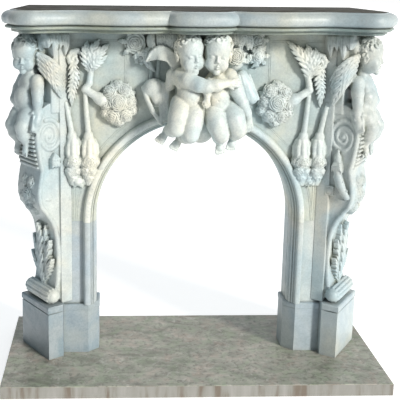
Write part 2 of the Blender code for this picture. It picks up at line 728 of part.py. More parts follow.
def spiral_band(bm, t_face, t_out):
    """The raised volute on one side of the scroll, as a tapering band on a spiral."""
    rings = []
    count = 15
    for k in range(count + 1):
        share = k / count
        turn = math.radians(-60 - 520 * share)
        reach = 0.050 * (1 - share) ** 0.85 + 0.006
        wide = 0.010 * (1 - 0.6 * share)
        s, z = 0.052 + 0.80 * reach * math.cos(turn), 0.868 + 1.15 * reach * math.sin(turn)
        ds, dz = 0.80 * math.cos(turn) * wide / 2, 1.15 * math.sin(turn) * wide / 2
        rings.append([console_point(s - ds, t_face, z - dz), console_point(s + ds, t_face, z + dz),
                      console_point(s + ds, t_out, z + dz), console_point(s - ds, t_out, z - dz)])
    skin(bm, rings)


def console_infant(bm):
    """The infant seated on the scroll, arms around it and a fold of cloth across the hips."""
    facing = OUTWARD * 1.0 + ALONG * -0.10 + Vector((0, 0, -0.16))
    infant_head(bm, head_frame(console_point(0.104, 0.076, 1.156), facing, 0.05), CONSOLE_HEAD_TALL)
    limb(bm, console_point(0.086, 0.078, 1.096), console_point(0.088, 0.078, 1.044), 0.032, 0.044)
    ball(bm, console_point(0.104, 0.078, 1.005), (0.046, 0.046, 0.044))
    ball(bm, console_point(0.092, 0.078, 0.972), (0.050, 0.050, 0.036))
    for path in (
        ((0.090, 0.118, 1.056, 0.025), (0.125, 0.122, 0.990, 0.020), (0.118, 0.060, 0.960, 0.017),
         (0.100, 0.022, 0.958, 0.014)),
        ((0.088, 0.036, 1.056, 0.025), (0.100, 0.014, 1.000, 0.019), (0.100, 0.018, 0.955, 0.015)),
        ((0.098, 0.056, 0.965, 0.034), (0.136, 0.050, 0.905, 0.029), (0.116, 0.054, 0.845, 0.019),
         (0.124, 0.054, 0.812, 0.015)),
        ((0.098, 0.102, 0.965, 0.034), (0.136, 0.110, 0.905, 0.029), (0.116, 0.106, 0.845, 0.019),
         (0.124, 0.106, 0.812, 0.015)),
        ((0.096, 0.020, 0.965, 0.022), (0.105, 0.078, 0.945, 0.024), (0.096, 0.136, 0.965, 0.022)),
        ((0.100, 0.008, 0.900, 0.020), (0.098, 0.040, 0.885, 0.020)),
    ):
        for start, end in zip(path, path[1:]):
            limb(bm, console_point(*start[:3]), console_point(*end[:3]), start[3], end[3])


def console_carving():
    """Infant, leaves, roses, garland and wings on a console, fused into one skin."""
    bm = bmesh.new()
    for t_face, t_out in ((0.012, 0.0015), (DRAWN_WIDE - 0.012, DRAWN_WIDE - 0.0015)):
        spiral_band(bm, t_face, t_out)
    # Fluted roll at the scroll's foot
    rings = []
    for t in (0.004, DRAWN_WIDE - 0.004):
        ring = []
        for k in range(16):
            turn = 2 * math.pi * k / 16
            reach = 0.028 if k % 2 else 0.023
            ring.append(console_point(0.054 + reach * math.cos(turn), t, 0.2785 + reach * math.sin(turn)))
        rings.append(ring)
    skin(bm, rings)
    # Standing acanthus leaf above the roll: a tapering body with pairs of lobes and a curled tip
    spine = [(0.040, 0.300), (0.048, 0.360), (0.050, 0.430), (0.056, 0.500), (0.066, 0.535)]
    for (s0, z0), (s1, z1), wide in zip(spine, spine[1:], (0.100, 0.112, 0.092, 0.050)):
        leaf(bm, console_point(s0, 0.075, z0 - 0.014), console_point(s1, 0.075, z1 + 0.012), wide, 0.014, OUTWARD)
    for z, spread, fall in ((0.365, 0.062, 0.020), (0.415, 0.058, 0.024), (0.465, 0.044, 0.022)):
        for turn in (-1, 1):
            leaf(bm, console_point(0.040, 0.075 + turn * 0.014, z - 0.030),
                 console_point(0.054, 0.075 + turn * spread, z + fall), 0.034, 0.012, OUTWARD)
    # Roses and leaves on the lower bulge
    for s, t, z, radius in ((0.106, 0.075, 0.655, 0.032), (0.100, 0.035, 0.640, 0.026), (0.100, 0.116, 0.640, 0.026),
                            (0.106, 0.055, 0.700, 0.023), (0.106, 0.098, 0.700, 0.023)):
        lean = OUTWARD + ALONG * (t - 0.075) * 9 + Vector((0, 0, (z - 0.66) * 4))
        rose(bm, console_point(s, t, z), radius, lean, 0.7, t * 30)
    for turn in (200, 250, 290, 340):
        angle = math.radians(turn)
        leaf(bm, console_point(0.088, 0.075, 0.650),
             console_point(0.096, 0.075 + 0.075 * math.cos(angle), 0.650 + 0.066 * math.sin(angle)), 0.034, 0.010, OUTWARD)
    # Garland swinging from below each volute to the roses
    for turn in (-1, 1):
        path = [console_point(s, 0.075 + turn * t, z) for s, t, z in
                ((0.050, 0.074, 0.800), (0.052, 0.078, 0.755), (0.072, 0.074, 0.712), (0.094, 0.058, 0.672))]
        tube(bm, path, (0.010, 0.017, 0.017, 0.014))
    # Leaf capital under the shelf: broad lobes that bend over and hang
    for k in range(5):
        t = 0.012 + 0.0315 * k
        crown = console_point(0.050, t, 1.226)
        bend = console_point(0.082, t, 1.196)
        tip = console_point(0.072, t, 1.148)
        leaf(bm, crown, bend, 0.036, 0.016, OUTWARD)
        leaf(bm, bend + Vector((0, 0, 0.012)), tip, 0.038, 0.015, OUTWARD)
    for s in (0.010, 0.042, 0.070):
        for t, lean in ((0.000, -ALONG), (DRAWN_WIDE, ALONG)):
            bend = console_point(s, t, 1.222) + lean * 0.004
            leaf(bm, bend, console_point(s + 0.002, t, 1.140) + lean * 0.006, 0.038, 0.012, lean)
    # Wings: feathers from each shoulder, out and down along the block
    for t, reach in ((0.030, -0.026), (0.122, 0.022)):
        for k in range(3):
            base = console_point(0.070, t, 1.110)
            tip = console_point(0.026 + 0.018 * k, t + reach, 1.020 + 0.012 * (2 - k) - 0.006 * k)
            leaf(bm, base, tip, 0.030, 0.011, OUTWARD * 0.6 + ALONG * math.copysign(1, reach))
    console_infant(bm)
    return soften(mesh_object("console_carving", bm, CUTTERS), CONSOLE_TRIANGLES)


def make_console(side, name):
    """Pier, scroll, leaf capital and seated infant, carved from one block."""
    inner_x = CORNER.x + GAP
    front_inner = CORNER + OUTWARD * PIER_OUT
    front_outer = pier_outer(PIER_OUT)
    back_outer = pier_outer(-0.055)
    outline = [
        (inner_x, FACE_Y - 0.0005),
        (max(front_inner.x, inner_x + 0.001), front_inner.y),
        (front_outer.x, front_outer.y),
        (back_outer.x, back_outer.y),
        (inner_x, back_outer.y),
    ]
    block = extrude_plan(name, outline, PIER_BASE_Z, SHELF_Z - GAP)
    bm = bmesh.new()
    outline = scroll_outline()
    skin(bm, [[console_point(s, t, z) for s, z in outline] for t in (0.010, DRAWN_WIDE - 0.010)])
    combine(block, mesh_object("scroll", bm, CUTTERS), "UNION")
    bm = bmesh.new()
    skin(bm, [[console_point(s, t, z) for s, t in ((-0.005, 0.004), (0.050, 0.004), (0.050, DRAWN_WIDE - 0.004),
                                                   (-0.005, DRAWN_WIDE - 0.004))] for z in (1.012, 1.2347)])
    combine(block, mesh_object("cap_block", bm, CUTTERS), "UNION")
    combine(block, console_carving(), "UNION", "MANIFOLD")
    # Keep the block off the frieze's carving, the shelf above and the plinth below
    far = 2 * SLAB_WIDTH
    outline = [(inner_x - far, FACE_Y - 0.05), (inner_x, FACE_Y - 0.05), (inner_x, far), (inner_x - far, far)]
    combine(block, extrude_plan("clear_frieze", outline, 0.0, 2 * SHELF_Z, CUTTERS), "DIFFERENCE")
    outline = [(-far, -far), (far, -far), (far, far), (-far, far)]
    combine(block, extrude_plan("clear_top", outline, SHELF_Z - GAP, 2 * SHELF_Z, CUTTERS), "DIFFERENCE")
    combine(block, extrude_plan("clear_foot", outline, -far, PIER_BASE_Z, CUTTERS), "DIFFERENCE")
    outline = return_plan(2 * GAP, 2 * GAP)
    combine(block, extrude_plan("clear_return", outline, 0.0, 2 * SHELF_Z, CUTTERS), "DIFFERENCE")
    thin_out(block, BLOCK_TRIANGLES)
    if side < 0:
        block.data.transform(Matrix.Scale(-1, 4, Vector((1, 0, 0))))
        block.data.flip_normals()
    return block


def return_plan(clear, spread=0.0):
    """Plan of the side return, its front edge kept clear of the pier's outer side."""
    outer = return_outer()
    inner = outer - RETURN_THICK
    slope = math.cos(CANT) / math.sin(CANT)
    edge = pier_outer(PIER_OUT)
    front = [(x, edge.y + (edge.x - x) * slope + clear) for x in (inner - spread, outer + spread)]
    return front + [(outer + spread, WALL_Y), (inner - spread, WALL_Y)]


def make_side_return(side, name):
    """A plain upright that closes the side from the pier back to the wall."""
    return extrude_plan(name, return_plan(4 * GAP), PIER_BASE_Z, SHELF_Z - GAP, side=side)


def shelf_outline():
    """Plan of the shelf: a bowed centre between cusps, waved wings, bulged corners."""
    wide = SHELF_HALF / 0.690
    deep = SHELF_OUT / 0.520
    centre = catmull([(0.0, 0.0), (0.055, 0.006), (0.098, 0.026), (0.119, 0.052)], 2)
    wing = catmull([(0.119, 0.052), (0.150, 0.038), (0.205, 0.026), (0.280, 0.022), (0.360, 0.040), (0.430, 0.054),
                    (0.500, 0.034), (0.570, 0.006), (0.625, 0.026), (0.655, 0.062)], 2)
    corner = catmull([(0.655, 0.062), (0.668, 0.095), (0.690, 0.140), (0.688, 0.180)], 1)
    half = centre[:-1] + wing[:-1] + corner
    front = [(x * wide, WALL_Y - SHELF_OUT + back * deep) for x, back in half]
    right = front[1:] + [(0.665 * wide, WALL_Y)]
    left = [(-x, y) for x, y in reversed(right)]
    return left + [front[0]] + right


def make_shelf():
    """The mantel shelf: one outline with its moulded edge stepping in below."""
    outline = shelf_outline()
    thick = SHELF_THICK
    rings = []
    for away, share in (
        (0.045, 0.00), (0.032, 0.05), (0.032, 0.17), (0.011, 0.24), (0.011, 0.35), (0.021, 0.38), (0.002, 0.54),
        (0.000, 0.74), (0.011, 0.90), (0.030, 1.00),
    ):
        ring = inset(outline, away)
        ring = [(x, WALL_Y if abs(y0 - WALL_Y) < 1e-6 else y) for (x, y), (x0, y0) in zip(ring, outline)]
        rings.append([(x, y, SHELF_Z + share * thick) for x, y in ring])
    bm = bmesh.new()
    skin(bm, rings)
    return mesh_object("mantel_shelf", bm)


def main():
    clear_scene()
    marble = stone("white_marble", (0.70, 0.75, 0.74), 0.42)
    carved = stone("carved_marble", (0.72, 0.77, 0.76), 0.50)
    hearth = stone("hearth_travertine", (0.50, 0.46, 0.38), 0.45)
    colour(make_slab(), hearth)
    colour(make_shelf(), marble)
    colour(make_arch_front(), marble)
    colour(make_keystone(), carved)
    for side, hand in ((1, "right"), (-1, "left")):
        colour(make_jamb_plinth(side, "jamb_plinth_" + hand), marble)
        colour(make_console_plinth(side, "console_plinth_" + hand), marble)
        colour(make_jamb(side, "jamb_" + hand), marble)
        colour(make_console(side, "console_" + hand), carved)
        colour(make_side_return(side, "side_return_" + hand), marble)


main()
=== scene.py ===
"""Looks of the carved marble fireplace mantel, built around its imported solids.

The carved pieces are worked as clay: signed distances on a grid, to which forms are added and from which
grooves are cut, and then skinned. The moulded pieces are lofts of the solids' outlines, with finer steps.
Metres, +Z up, the viewer on the -Y side.
"""

import math

import bmesh
import bpy
import numpy as np
from mathutils import Matrix, Vector

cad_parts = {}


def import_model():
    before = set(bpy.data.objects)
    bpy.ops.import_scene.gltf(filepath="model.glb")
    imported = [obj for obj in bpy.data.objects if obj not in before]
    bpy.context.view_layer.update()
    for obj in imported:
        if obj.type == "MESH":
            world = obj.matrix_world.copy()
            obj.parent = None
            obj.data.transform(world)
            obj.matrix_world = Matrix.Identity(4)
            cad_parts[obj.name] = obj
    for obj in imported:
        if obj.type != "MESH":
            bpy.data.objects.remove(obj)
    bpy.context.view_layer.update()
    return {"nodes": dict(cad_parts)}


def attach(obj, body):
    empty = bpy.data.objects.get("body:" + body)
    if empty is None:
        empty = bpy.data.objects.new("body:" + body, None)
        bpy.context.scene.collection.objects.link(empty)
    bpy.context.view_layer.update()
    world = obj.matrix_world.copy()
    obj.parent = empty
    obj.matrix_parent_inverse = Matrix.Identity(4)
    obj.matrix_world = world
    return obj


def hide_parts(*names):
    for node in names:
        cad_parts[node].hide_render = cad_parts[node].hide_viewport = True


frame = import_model()

# Sizes of the solids, as in the part: seams and planes, heights, then half-widths and depths
GAP = 0.0003
WALL_Y = 0.29
FACE_Y = -0.02
BACK_Y = 0.085
SPRING_Z = 0.56
JOINT_Z = 0.55
JAMB_BASE_Z = 0.235
PIER_BASE_Z = 0.247
SHELF_Z = 1.235
SHELF_TOP_Z = 1.31
SHELF_HALF = 0.67
SHELF_OUT = 0.525
OPENING_HALF = 0.355
FRIEZE_HALF = 0.475
FRONT_THICK = 0.105
ARCHIVOLT_WIDE = 0.048
ARCHIVOLT_OUT = 0.023
CANT = math.radians(55.0)
CONSOLE_WIDE = 0.165
CONSOLE_INBOARD = 0.02
PIER_OUT = 0.02
DRAWN_WIDE = 0.15
MIDDLE = DRAWN_WIDE / 2

OUTWARD = np.array((math.sin(CANT), -math.cos(CANT), 0.0))
ALONG = np.array((math.cos(CANT), math.sin(CANT), 0.0))
CORNER = np.array((FRIEZE_HALF, FACE_Y, 0.0))
UP = np.array((0.0, 0.0, 1.0))

# Grain of the carved blocks, the distance in an empty cell, a piece's greatest number of triangles, and
# how many of them each half of the front keeps for its wall, its moulding and its lines
FRIEZE_CELL = 0.0022
GROUP_CELL = 0.002
CONSOLE_CELL = 0.0024
FAR = 0.02
MOST_TRIANGLES = 185000
PLAIN_FRONT_TRIANGLES = 8000

# Heads are drawn out upward, as in the picture
HEAD_TALL = 1.18
CONSOLE_HEAD_TALL = 1.1

# Border lines of the frieze: half-width, and how far their ridge and their edges stand out
LINE_HALF = 0.0011
LINE_OUT = 0.0013
LINE_EDGE = 0.0002

# Camera, fitted to the picture's perspective
LENS = 72.0
SENSOR = 36.0
SHIFT = (0.15, -0.15)
CAMERA_AT = (-0.306, -2.801, 1.427)
YAW, PITCH, ROLL = math.radians(2.189), math.radians(11.702), math.radians(0.583)

# Light: a low sun from the right, a sky that is darker at the left, and a pale floor that glows by the hearth
SUN_FROM = (0.8, -0.9, 0.44)
SUN_POWER = 3.45
SUN_SPREAD = math.radians(12)
SUN_COLOR = (1.0, 0.96, 0.9)
SKY_LEFT = (0.12, 0.15, 0.18)
SKY_RIGHT = (0.44, 0.48, 0.5)
WHITE_WALL = (0.6, 0.8)
FLOOR_HALF = 40.0
FLOOR_DROP = 0.0005
FLOOR_GLOW = 0.66
GLOW_X = (-2.2, -0.95)
GLOW_Y = (-1.7, -0.4)
GLOW_BEHIND_Y = (0.25, 0.6)


def vec(*parts):
    return np.array(parts, float)


def unit(v):
    return np.array(v, float) / np.linalg.norm(v)


def between(first, second, *shift):
    """The middle of two points, moved a little if a shift is given."""
    middle = (vec(*first) + vec(*second)) / 2
    return middle + vec(*shift) if shift else middle


def around(centre, radius, turn, *more):
    """A point at a turn on a circle in the first and last axes, and values that follow it."""
    return (centre[0] + radius * math.cos(turn), *more, centre[1] + radius * math.sin(turn))


def catmull(points, steps):
    """Points along a smooth curve through control points of any dimension."""
    found = []
    for i in range(len(points) - 1):
        before = points[max(i - 1, 0)]
        start, end = points[i], points[i + 1]
        after = points[min(i + 2, len(points) - 1)]
        for k in range(steps):
            u = k / steps
            point = []
            for a, b, c, d in zip(before, start, end, after):
                bend = (2 * a - 5 * b + 4 * c - d) * u * u
                point.append(0.5 * (2 * b + (c - a) * u + bend + (3 * b - a - 3 * c + d) * u ** 3))
            found.append(tuple(point))
    found.append(tuple(points[-1]))
    return found


# Clay: every block is worked in its own axes, which are across, out and up


class Clay:
    """A block kept as signed distances on a grid, negative inside the stone."""

    def __init__(self, low, high, cell):
        self.low = vec(*low)
        self.cell = cell
        self.shape = tuple(int(math.ceil((b - a) / cell)) + 1 for a, b in zip(low, high))
        self.field = np.full(self.shape, FAR, np.float32)

    def reach(self, low, high, spare):
        """The part of the grid around a box, and its coordinates."""
        where, axes = [], []
        for k in range(3):
            first = max(0, int((low[k] - spare - self.low[k]) / self.cell))
            last = min(self.shape[k], max(first, int((high[k] + spare - self.low[k]) / self.cell) + 2))
            where.append(slice(first, last))
            axes.append((self.low[k] + self.cell * np.arange(first, last)).astype(np.float32))
        return tuple(where), np.meshgrid(*axes, indexing="ij", sparse=True)

    def add(self, form, soft=0.003):
        """Press a form onto the block with a soft seam."""
        low, high, distance = form
        where, grid = self.reach(low, high, soft + 2 * self.cell)
        part = self.field[where]
        if part.size:
            made = distance(*grid)
            share = np.clip(0.5 + 0.5 * (part - made) / soft, 0, 1)
            self.field[where] = part + (made - part) * share - soft * share * (1 - share)

    def cut(self, form, soft=0.0015):
        """Take a form out of the block."""
        low, high, distance = form
        where, grid = self.reach(low, high, soft + 2 * self.cell)
        part = self.field[where]
        if part.size:
            made = -distance(*grid)
            share = np.clip(0.5 - 0.5 * (part - made) / soft, 0, 1)
            self.field[where] = part + (made - part) * share + soft * share * (1 - share)

    def sample(self, points):
        """Distances at points, blended from the cells around each."""
        at = (points - self.low) / self.cell
        base = np.clip(np.floor(at).astype(int), 0, np.array(self.shape) - 2)
        part = np.clip(at - base, 0, 1)
        found = np.zeros(len(points))
        for k in range(8):
            step = np.array((k & 1, k >> 1 & 1, k >> 2 & 1))
            weight = np.prod(np.where(step, part, 1 - part), axis=1)
            found += weight * self.field[tuple((base + step).T)]
        return found

    def skin(self):
        """Points and quads of the surface, one point in each cell that the surface crosses."""
        for k in range(3):
            edge = [slice(None)] * 3
            for end in (0, -1):
                edge[k] = end
                self.field[tuple(edge)] = self.cell
        inside = self.field < 0
        total = np.zeros([n - 1 for n in self.shape], np.int8)
        for k in range(8):
            total += inside[tuple(slice(k >> a & 1, n - 1 + (k >> a & 1)) for a, n in enumerate(self.shape))]
        active = (total > 0) & (total < 8)
        cells = np.argwhere(active)
        index = np.full(active.shape, -1, np.int32)
        index[active] = np.arange(len(cells))
        values = [self.field[tuple((cells + (k & 1, k >> 1 & 1, k >> 2 & 1)).T)] for k in range(8)]
        place = np.zeros((len(cells), 3))
        count = np.zeros(len(cells))
        for k in range(8):
            for axis in range(3):
                if k >> axis & 1:
                    continue
                a, b = values[k], values[k | 1 << axis]
                crossed = (a < 0) != (b < 0)
                share = np.where(crossed, a / np.where(crossed, a - b, 1), 0)
                for other in range(3):
                    place[:, other] += crossed * (share if other == axis else float(k >> other & 1))
                count += crossed
        points = self.low + self.cell * (cells + place / count[:, None])
        quads = []
        for axis in range(3):
            u, v = (axis + 1) % 3, (axis + 2) % 3
            change = np.diff(inside.astype(np.int8), axis=axis)
            at = np.argwhere(change)
            within = (at[:, u] < self.shape[u] - 1) & (at[:, v] < self.shape[v] - 1)
            at = at[(at[:, u] > 0) & (at[:, v] > 0) & within]
            leaving = change[tuple(at.T)] < 0
            du, dv = np.eye(3, dtype=int)[u], np.eye(3, dtype=int)[v]
            found = np.stack([index[tuple((at - s).T)] for s in (0 * du, du, du + dv, dv)], axis=1)
            found[~leaving] = found[~leaving][:, ::-1]
            quads.append(found)
        return points, np.concatenate(quads)


def ball(centre, radii, axes=None):
    """An ellipsoid, with its own axes if given."""
    centre = vec(*centre)
    radii = vec(*radii)
    most = float(radii.max())

    def distance(x, y, z):
        x, y, z = x - centre[0], y - centre[1], z - centre[2]
        if axes is not None:
            x, y, z = (x * a[0] + y * a[1] + z * a[2] for a in axes)
        x, y, z = x / radii[0], y / radii[1], z / radii[2]
        near = np.sqrt(x * x + y * y + z * z)
        grown = np.sqrt((x / radii[0]) ** 2 + (y / radii[1]) ** 2 + (z / radii[2]) ** 2)
        return near * (near - 1) / np.maximum(grown, 1e-6)

    reach = np.full(3, most) if axes is not None else radii
    return centre - reach, centre + reach, distance


def limb(start, end, first, last):
    """A tapered limb with round ends."""
    start, end = vec(*start), vec(*end)
    run = end - start
    long = float(run @ run) + 1e-12

    def distance(x, y, z):
        x, y, z = x - start[0], y - start[1], z - start[2]
        share = np.clip((x * run[0] + y * run[1] + z * run[2]) / long, 0, 1)
        away = (x - share * run[0]) ** 2 + (y - share * run[1]) ** 2 + (z - share * run[2]) ** 2
        return np.sqrt(away) - (first + (last - first) * share)

    most = max(first, last)
    return np.minimum(start, end) - most, np.maximum(start, end) + most, distance


def slab(low, high, rounding=0.002):
    """A box with rounded edges."""
    low, high = vec(*low), vec(*high)
    middle, half = (low + high) / 2, (high - low) / 2 - rounding

    def distance(x, y, z):
        away = [np.abs(p - middle[k]) - half[k] for k, p in enumerate((x, y, z))]
        outer = np.sqrt(sum(np.maximum(a, 0) ** 2 for a in away))
        inner = np.minimum(np.maximum(np.maximum(away[0], away[1]), away[2]), 0)
        return outer + inner - rounding

    return low, high, distance


def path(clay, points, soft=0.004):
    """Limbs along a run of (across, out, up, radius)."""
    for start, end in zip(points, points[1:]):
        clay.add(limb(start[:3], end[:3], start[3], end[3]), soft)


def prism(outline, low, high, rounding=0.003):
    """A body with an outline in out and up, between two places across."""
    corners = np.array(outline, float)

    def distance(x, y, z):
        flat = np.full(np.broadcast_shapes(y.shape, z.shape), 1e9)
        crossing = np.zeros(flat.shape, bool)
        for (ay, az), (by, bz) in zip(corners, np.roll(corners, -1, axis=0)):
            ey, ez = by - ay, bz - az
            share = np.clip(((y - ay) * ey + (z - az) * ez) / (ey * ey + ez * ez + 1e-12), 0, 1)
            flat = np.minimum(flat, (y - ay - share * ey) ** 2 + (z - az - share * ez) ** 2)
            if abs(ez) > 1e-9:
                crossing ^= ((az > z) != (bz > z)) & (y < ey * (z - az) / ez + ay)
        flat = np.sqrt(flat) * np.where(crossing, -1, 1) + rounding
        side = np.abs(x - (low + high) / 2) - (high - low) / 2 + rounding
        outer = np.sqrt(np.maximum(flat, 0) ** 2 + np.maximum(side, 0) ** 2)
        return outer + np.minimum(np.maximum(flat, side), 0) - rounding

    return (low, *corners.min(0)), (high, *corners.max(0)), distance


def flower(centre, normal, radius, high, kind="rose", turn=0.0, deep=0.01):
    """A carved flower on a disc that faces along its normal: a rose of nested cups, or a daisy."""
    normal = unit(normal)
    first = unit(np.cross(normal, (0.13, 0.2, 1.0)))
    second = np.cross(normal, first)
    centre = vec(*centre)

    def distance(x, y, z):
        x, y, z = x - centre[0], y - centre[1], z - centre[2]
        u = x * first[0] + y * first[1] + z * first[2]
        v = x * second[0] + y * second[1] + z * second[2]
        w = x * normal[0] + y * normal[1] + z * normal[2]
        r = np.sqrt(u * u + v * v) / radius
        a = np.arctan2(v, u) + turn
        if kind == "rose":
            top = np.full(r.shape, -2.0)
            for rim, base, lift, lobes, shift, wave in ((0.97, 0.1, 0.46, 5, 0.0, 0.1),
                    (0.76, 0.38, 0.44, 5, 0.63, 0.09), (0.52, 0.62, 0.42, 4, 0.2, 0.08),
                    (0.31, 0.86, 0.34, 3, 0.9, 0.1), (0.14, 1.1, 0.1, 1, 0.0, 0.0)):
                edge = rim * (1 - wave + wave * np.abs(np.cos(lobes * (a - shift) / 2)) ** 0.6 * 1.6)
                share = r / edge
                cup = base + lift * np.minimum(share, 1.0) ** 3 - 7.0 * np.maximum(share - 1, 0) * rim
                top = np.maximum(top, cup)
            outside = (r - 1.04) * radius
        else:
            leaves = np.abs(np.cos(5.5 * a))
            edge = 0.9 + 0.12 * leaves
            top = 0.42 + 0.3 * leaves * np.minimum(r * 1.6, 1) - 0.35 * np.maximum(r - 0.7, 0)
            top = np.where(r < 0.34, 0.62 + 0.5 * np.sqrt(np.maximum(0.34 ** 2 - r * r, 0)), top)
            top = np.where((r > 0.3) & (r < 0.38), 0.3, top)
            outside = (r - edge) * radius
        return np.maximum(np.maximum((w - top * high) * 0.6, outside), -w - deep)

    reach = radius * 1.1 + high
    return centre - reach, centre + reach, distance


def strap(spine, wide, high, lobes=0, ribs=0, normal=(0, 1, 0), cup=0.35, notch=0.35, lean=0.8, deep=0.012,
        vein=0.12):
    """A leaf, feather or band along a spine of points, seen along a normal.

    wide and high give half-widths and heights along it. lobes cuts slanting notches into the edge, and ribs
    raises slanting ridges on the face."""
    spine = np.array([p[:3] for p in spine], float)
    normal = unit(normal)
    steps = len(spine) - 1
    widths = np.interp(np.linspace(0, 1, steps + 1), np.linspace(0, 1, len(wide)), wide)
    highs = np.interp(np.linspace(0, 1, steps + 1), np.linspace(0, 1, len(high)), high)

    def distance(x, y, z):
        best = None
        for i in range(steps):
            a, run = spine[i], spine[i + 1] - spine[i]
            flat = run - normal * (run @ normal)
            long = float(flat @ flat) + 1e-12
            across = unit(np.cross(normal, flat))
            px, py, pz = x - a[0], y - a[1], z - a[2]
            raw = (px * flat[0] + py * flat[1] + pz * flat[2]) / long
            share = np.clip(raw, 0, 1)
            beyond = (raw - share) * math.sqrt(long)
            side = px * across[0] + py * across[1] + pz * across[2]
            w = px * normal[0] + py * normal[1] + pz * normal[2] - share * (run @ normal)
            away = np.sqrt(side * side + beyond * beyond)
            here = (away, side, w, (i + share) / steps, widths[i] + (widths[i + 1] - widths[i]) * share,
                highs[i] + (highs[i + 1] - highs[i]) * share)
            if best is None:
                best = [np.broadcast_to(h, away.shape).copy() for h in here]
            else:
                nearer = away < best[0]
                for kept, new in zip(best, here):
                    kept[nearer] = np.broadcast_to(new, away.shape)[nearer]
        away, side, w, along, half, tall = best
        share = np.minimum(away / np.maximum(half, 1e-4), 1.6)
        edge = half
        if lobes:
            phase = (along * lobes - share * lean * 0.5) % 1.0
            edge = half * (1 - notch * (1 - phase) ** 1.5)
        top = tall * (1 - cup * share * share)
        if vein:
            top = top - tall * vein * np.exp(-((share / 0.13) ** 2))
        if ribs:
            top = top + tall * 0.13 * np.cos(2 * math.pi * (along * ribs - share * lean))
        return np.maximum(np.maximum((w - top) * 0.7, (away - edge) * 0.75), -w - deep)

    most = float(max(widths.max(), highs.max()))
    return spine.min(0) - most, spine.max(0) + most, distance


def leaf(clay, points, wide, high, lobes=0, ribs=0, soft=0.0012, steps=3, **more):
    """Press a leaf, feather or band onto a block, along a curve, or straight when steps is 1."""
    clay.add(strap(catmull(points, steps), wide, high, lobes, ribs, **more), soft)


# Figures: infants of a plain, general kind


def frame_at(centre, facing, tilt=0.0):
    """A head's centre and its axes: right, forward and up."""
    forward = unit(facing)
    right = unit(np.cross(forward, UP))
    up = np.cross(right, forward)
    turned = right * math.cos(tilt) + up * math.sin(tilt)
    up = up * math.cos(tilt) - right * math.sin(tilt)
    return vec(*centre), turned, forward, up


def head(clay, centre, facing, tilt=0.0, seed=1, size=1.0, tall=1.0):
    """A calm, round infant's head with short tufted hair, drawn out upward by tall."""
    centre, right, forward, up = frame_at(centre, facing, tilt)
    axes = (right, forward, up)

    def at(x, y, z):
        return centre + (right * x + forward * y + up * z * tall) * size

    def lump(x, y, z, rx, ry, rz):
        return ball(at(x, y, z), vec(rx, ry, rz * tall) * size, axes)

    clay.add(lump(0, -0.002, 0.01, 0.044, 0.046, 0.045), 0.004)
    clay.add(lump(0, 0.012, -0.02, 0.036, 0.034, 0.037), 0.012)
    clay.add(lump(0, 0.026, 0.016, 0.034, 0.02, 0.024), 0.01)
    for turn in (-1, 1):
        clay.add(lump(turn * 0.0195, 0.03, -0.027, 0.0165, 0.015, 0.0165), 0.01)
        clay.cut(lump(turn * 0.016, 0.05, -0.005, 0.0105, 0.0085, 0.0065), 0.007)
        clay.add(lump(turn * 0.016, 0.0385, -0.006, 0.0088, 0.006, 0.0052), 0.0012)
        clay.add(limb(at(turn * 0.0075, 0.043, 0.003), at(turn * 0.026, 0.0365, 0.001), 0.0026, 0.0018),
            0.005)
        clay.cut(limb(at(turn * 0.009, 0.0455, -0.0075), at(turn * 0.0235, 0.0425, -0.007), 0.001, 0.0008),
            0.001)
        clay.add(lump(turn * 0.0435, -0.004, -0.011, 0.005, 0.009, 0.013), 0.002)
        clay.cut(lump(turn * 0.048, -0.002, -0.009, 0.0026, 0.005, 0.008), 0.002)
    clay.add(limb(at(0, 0.043, 0.001), at(0, 0.0505, -0.016), 0.0028, 0.0048), 0.004)
    for turn in (-1, 1):
        clay.add(lump(turn * 0.0048, 0.0475, -0.0185, 0.0034, 0.0036, 0.003), 0.002)
        clay.add(limb(at(0, 0.0478, -0.029), at(turn * 0.0085, 0.044, -0.0305), 0.0028, 0.0014), 0.0015)
        clay.add(limb(at(0, 0.0465, -0.035), at(turn * 0.0065, 0.044, -0.0342), 0.0032, 0.0016), 0.0015)
        clay.cut(limb(at(0, 0.051, -0.0321), at(turn * 0.0105, 0.0455, -0.0318), 0.0012, 0.001), 0.001)
    clay.add(lump(0, 0.037, -0.048, 0.0115, 0.01, 0.0095), 0.006)
    clay.cut(limb(at(-0.005, 0.0475, -0.041), at(0.005, 0.0475, -0.041), 0.0016, 0.0016), 0.003)
    # Hair in short curled tufts over the skull, clear of the face
    chance = np.random.default_rng(seed)
    count = 78
    for k in range(count):
        high = 1 - 1.45 * (k + 0.5) / count
        turn = k * 2.39996
        flat = math.sqrt(max(0.0, 1 - high * high))
        x, y, z = flat * math.cos(turn), flat * math.sin(turn), high
        if y > 0.3 and z < 0.5:
            continue
        if y > 0.05 and z < 0.05:
            continue
        spot = vec(x * 0.0445, y * 0.0465 - 0.002, z * 0.0455 + 0.01)
        out = unit((x, y, z))
        swirl = unit(np.cross(out, (0.3, 0.2, 1.0)))
        swirl = unit(swirl * math.cos(k * 1.7) + np.cross(out, swirl) * math.sin(k * 1.7))
        other = np.cross(out, swirl)
        big = 0.0078 + 0.0025 * chance.random()
        ring = []
        for j, q in enumerate(np.linspace(0, 4.6, 7)):
            curl = swirl * math.cos(q) + other * math.sin(q)
            ring.append(spot + big * curl * (1 - 0.1 * j) + out * 0.0012 * (3 - abs(j - 3)))
        for j, (a, b) in enumerate(zip(ring, ring[1:])):
            clay.add(limb(at(*a), at(*b), (0.004 - 0.0003 * j) * size, (0.0037 - 0.0003 * j) * size), 0.0015)
        clay.add(limb(at(*(spot - out * 0.003)), at(*(spot + out * 0.0015)), 0.0035 * size, 0.0025 * size),
            0.003)


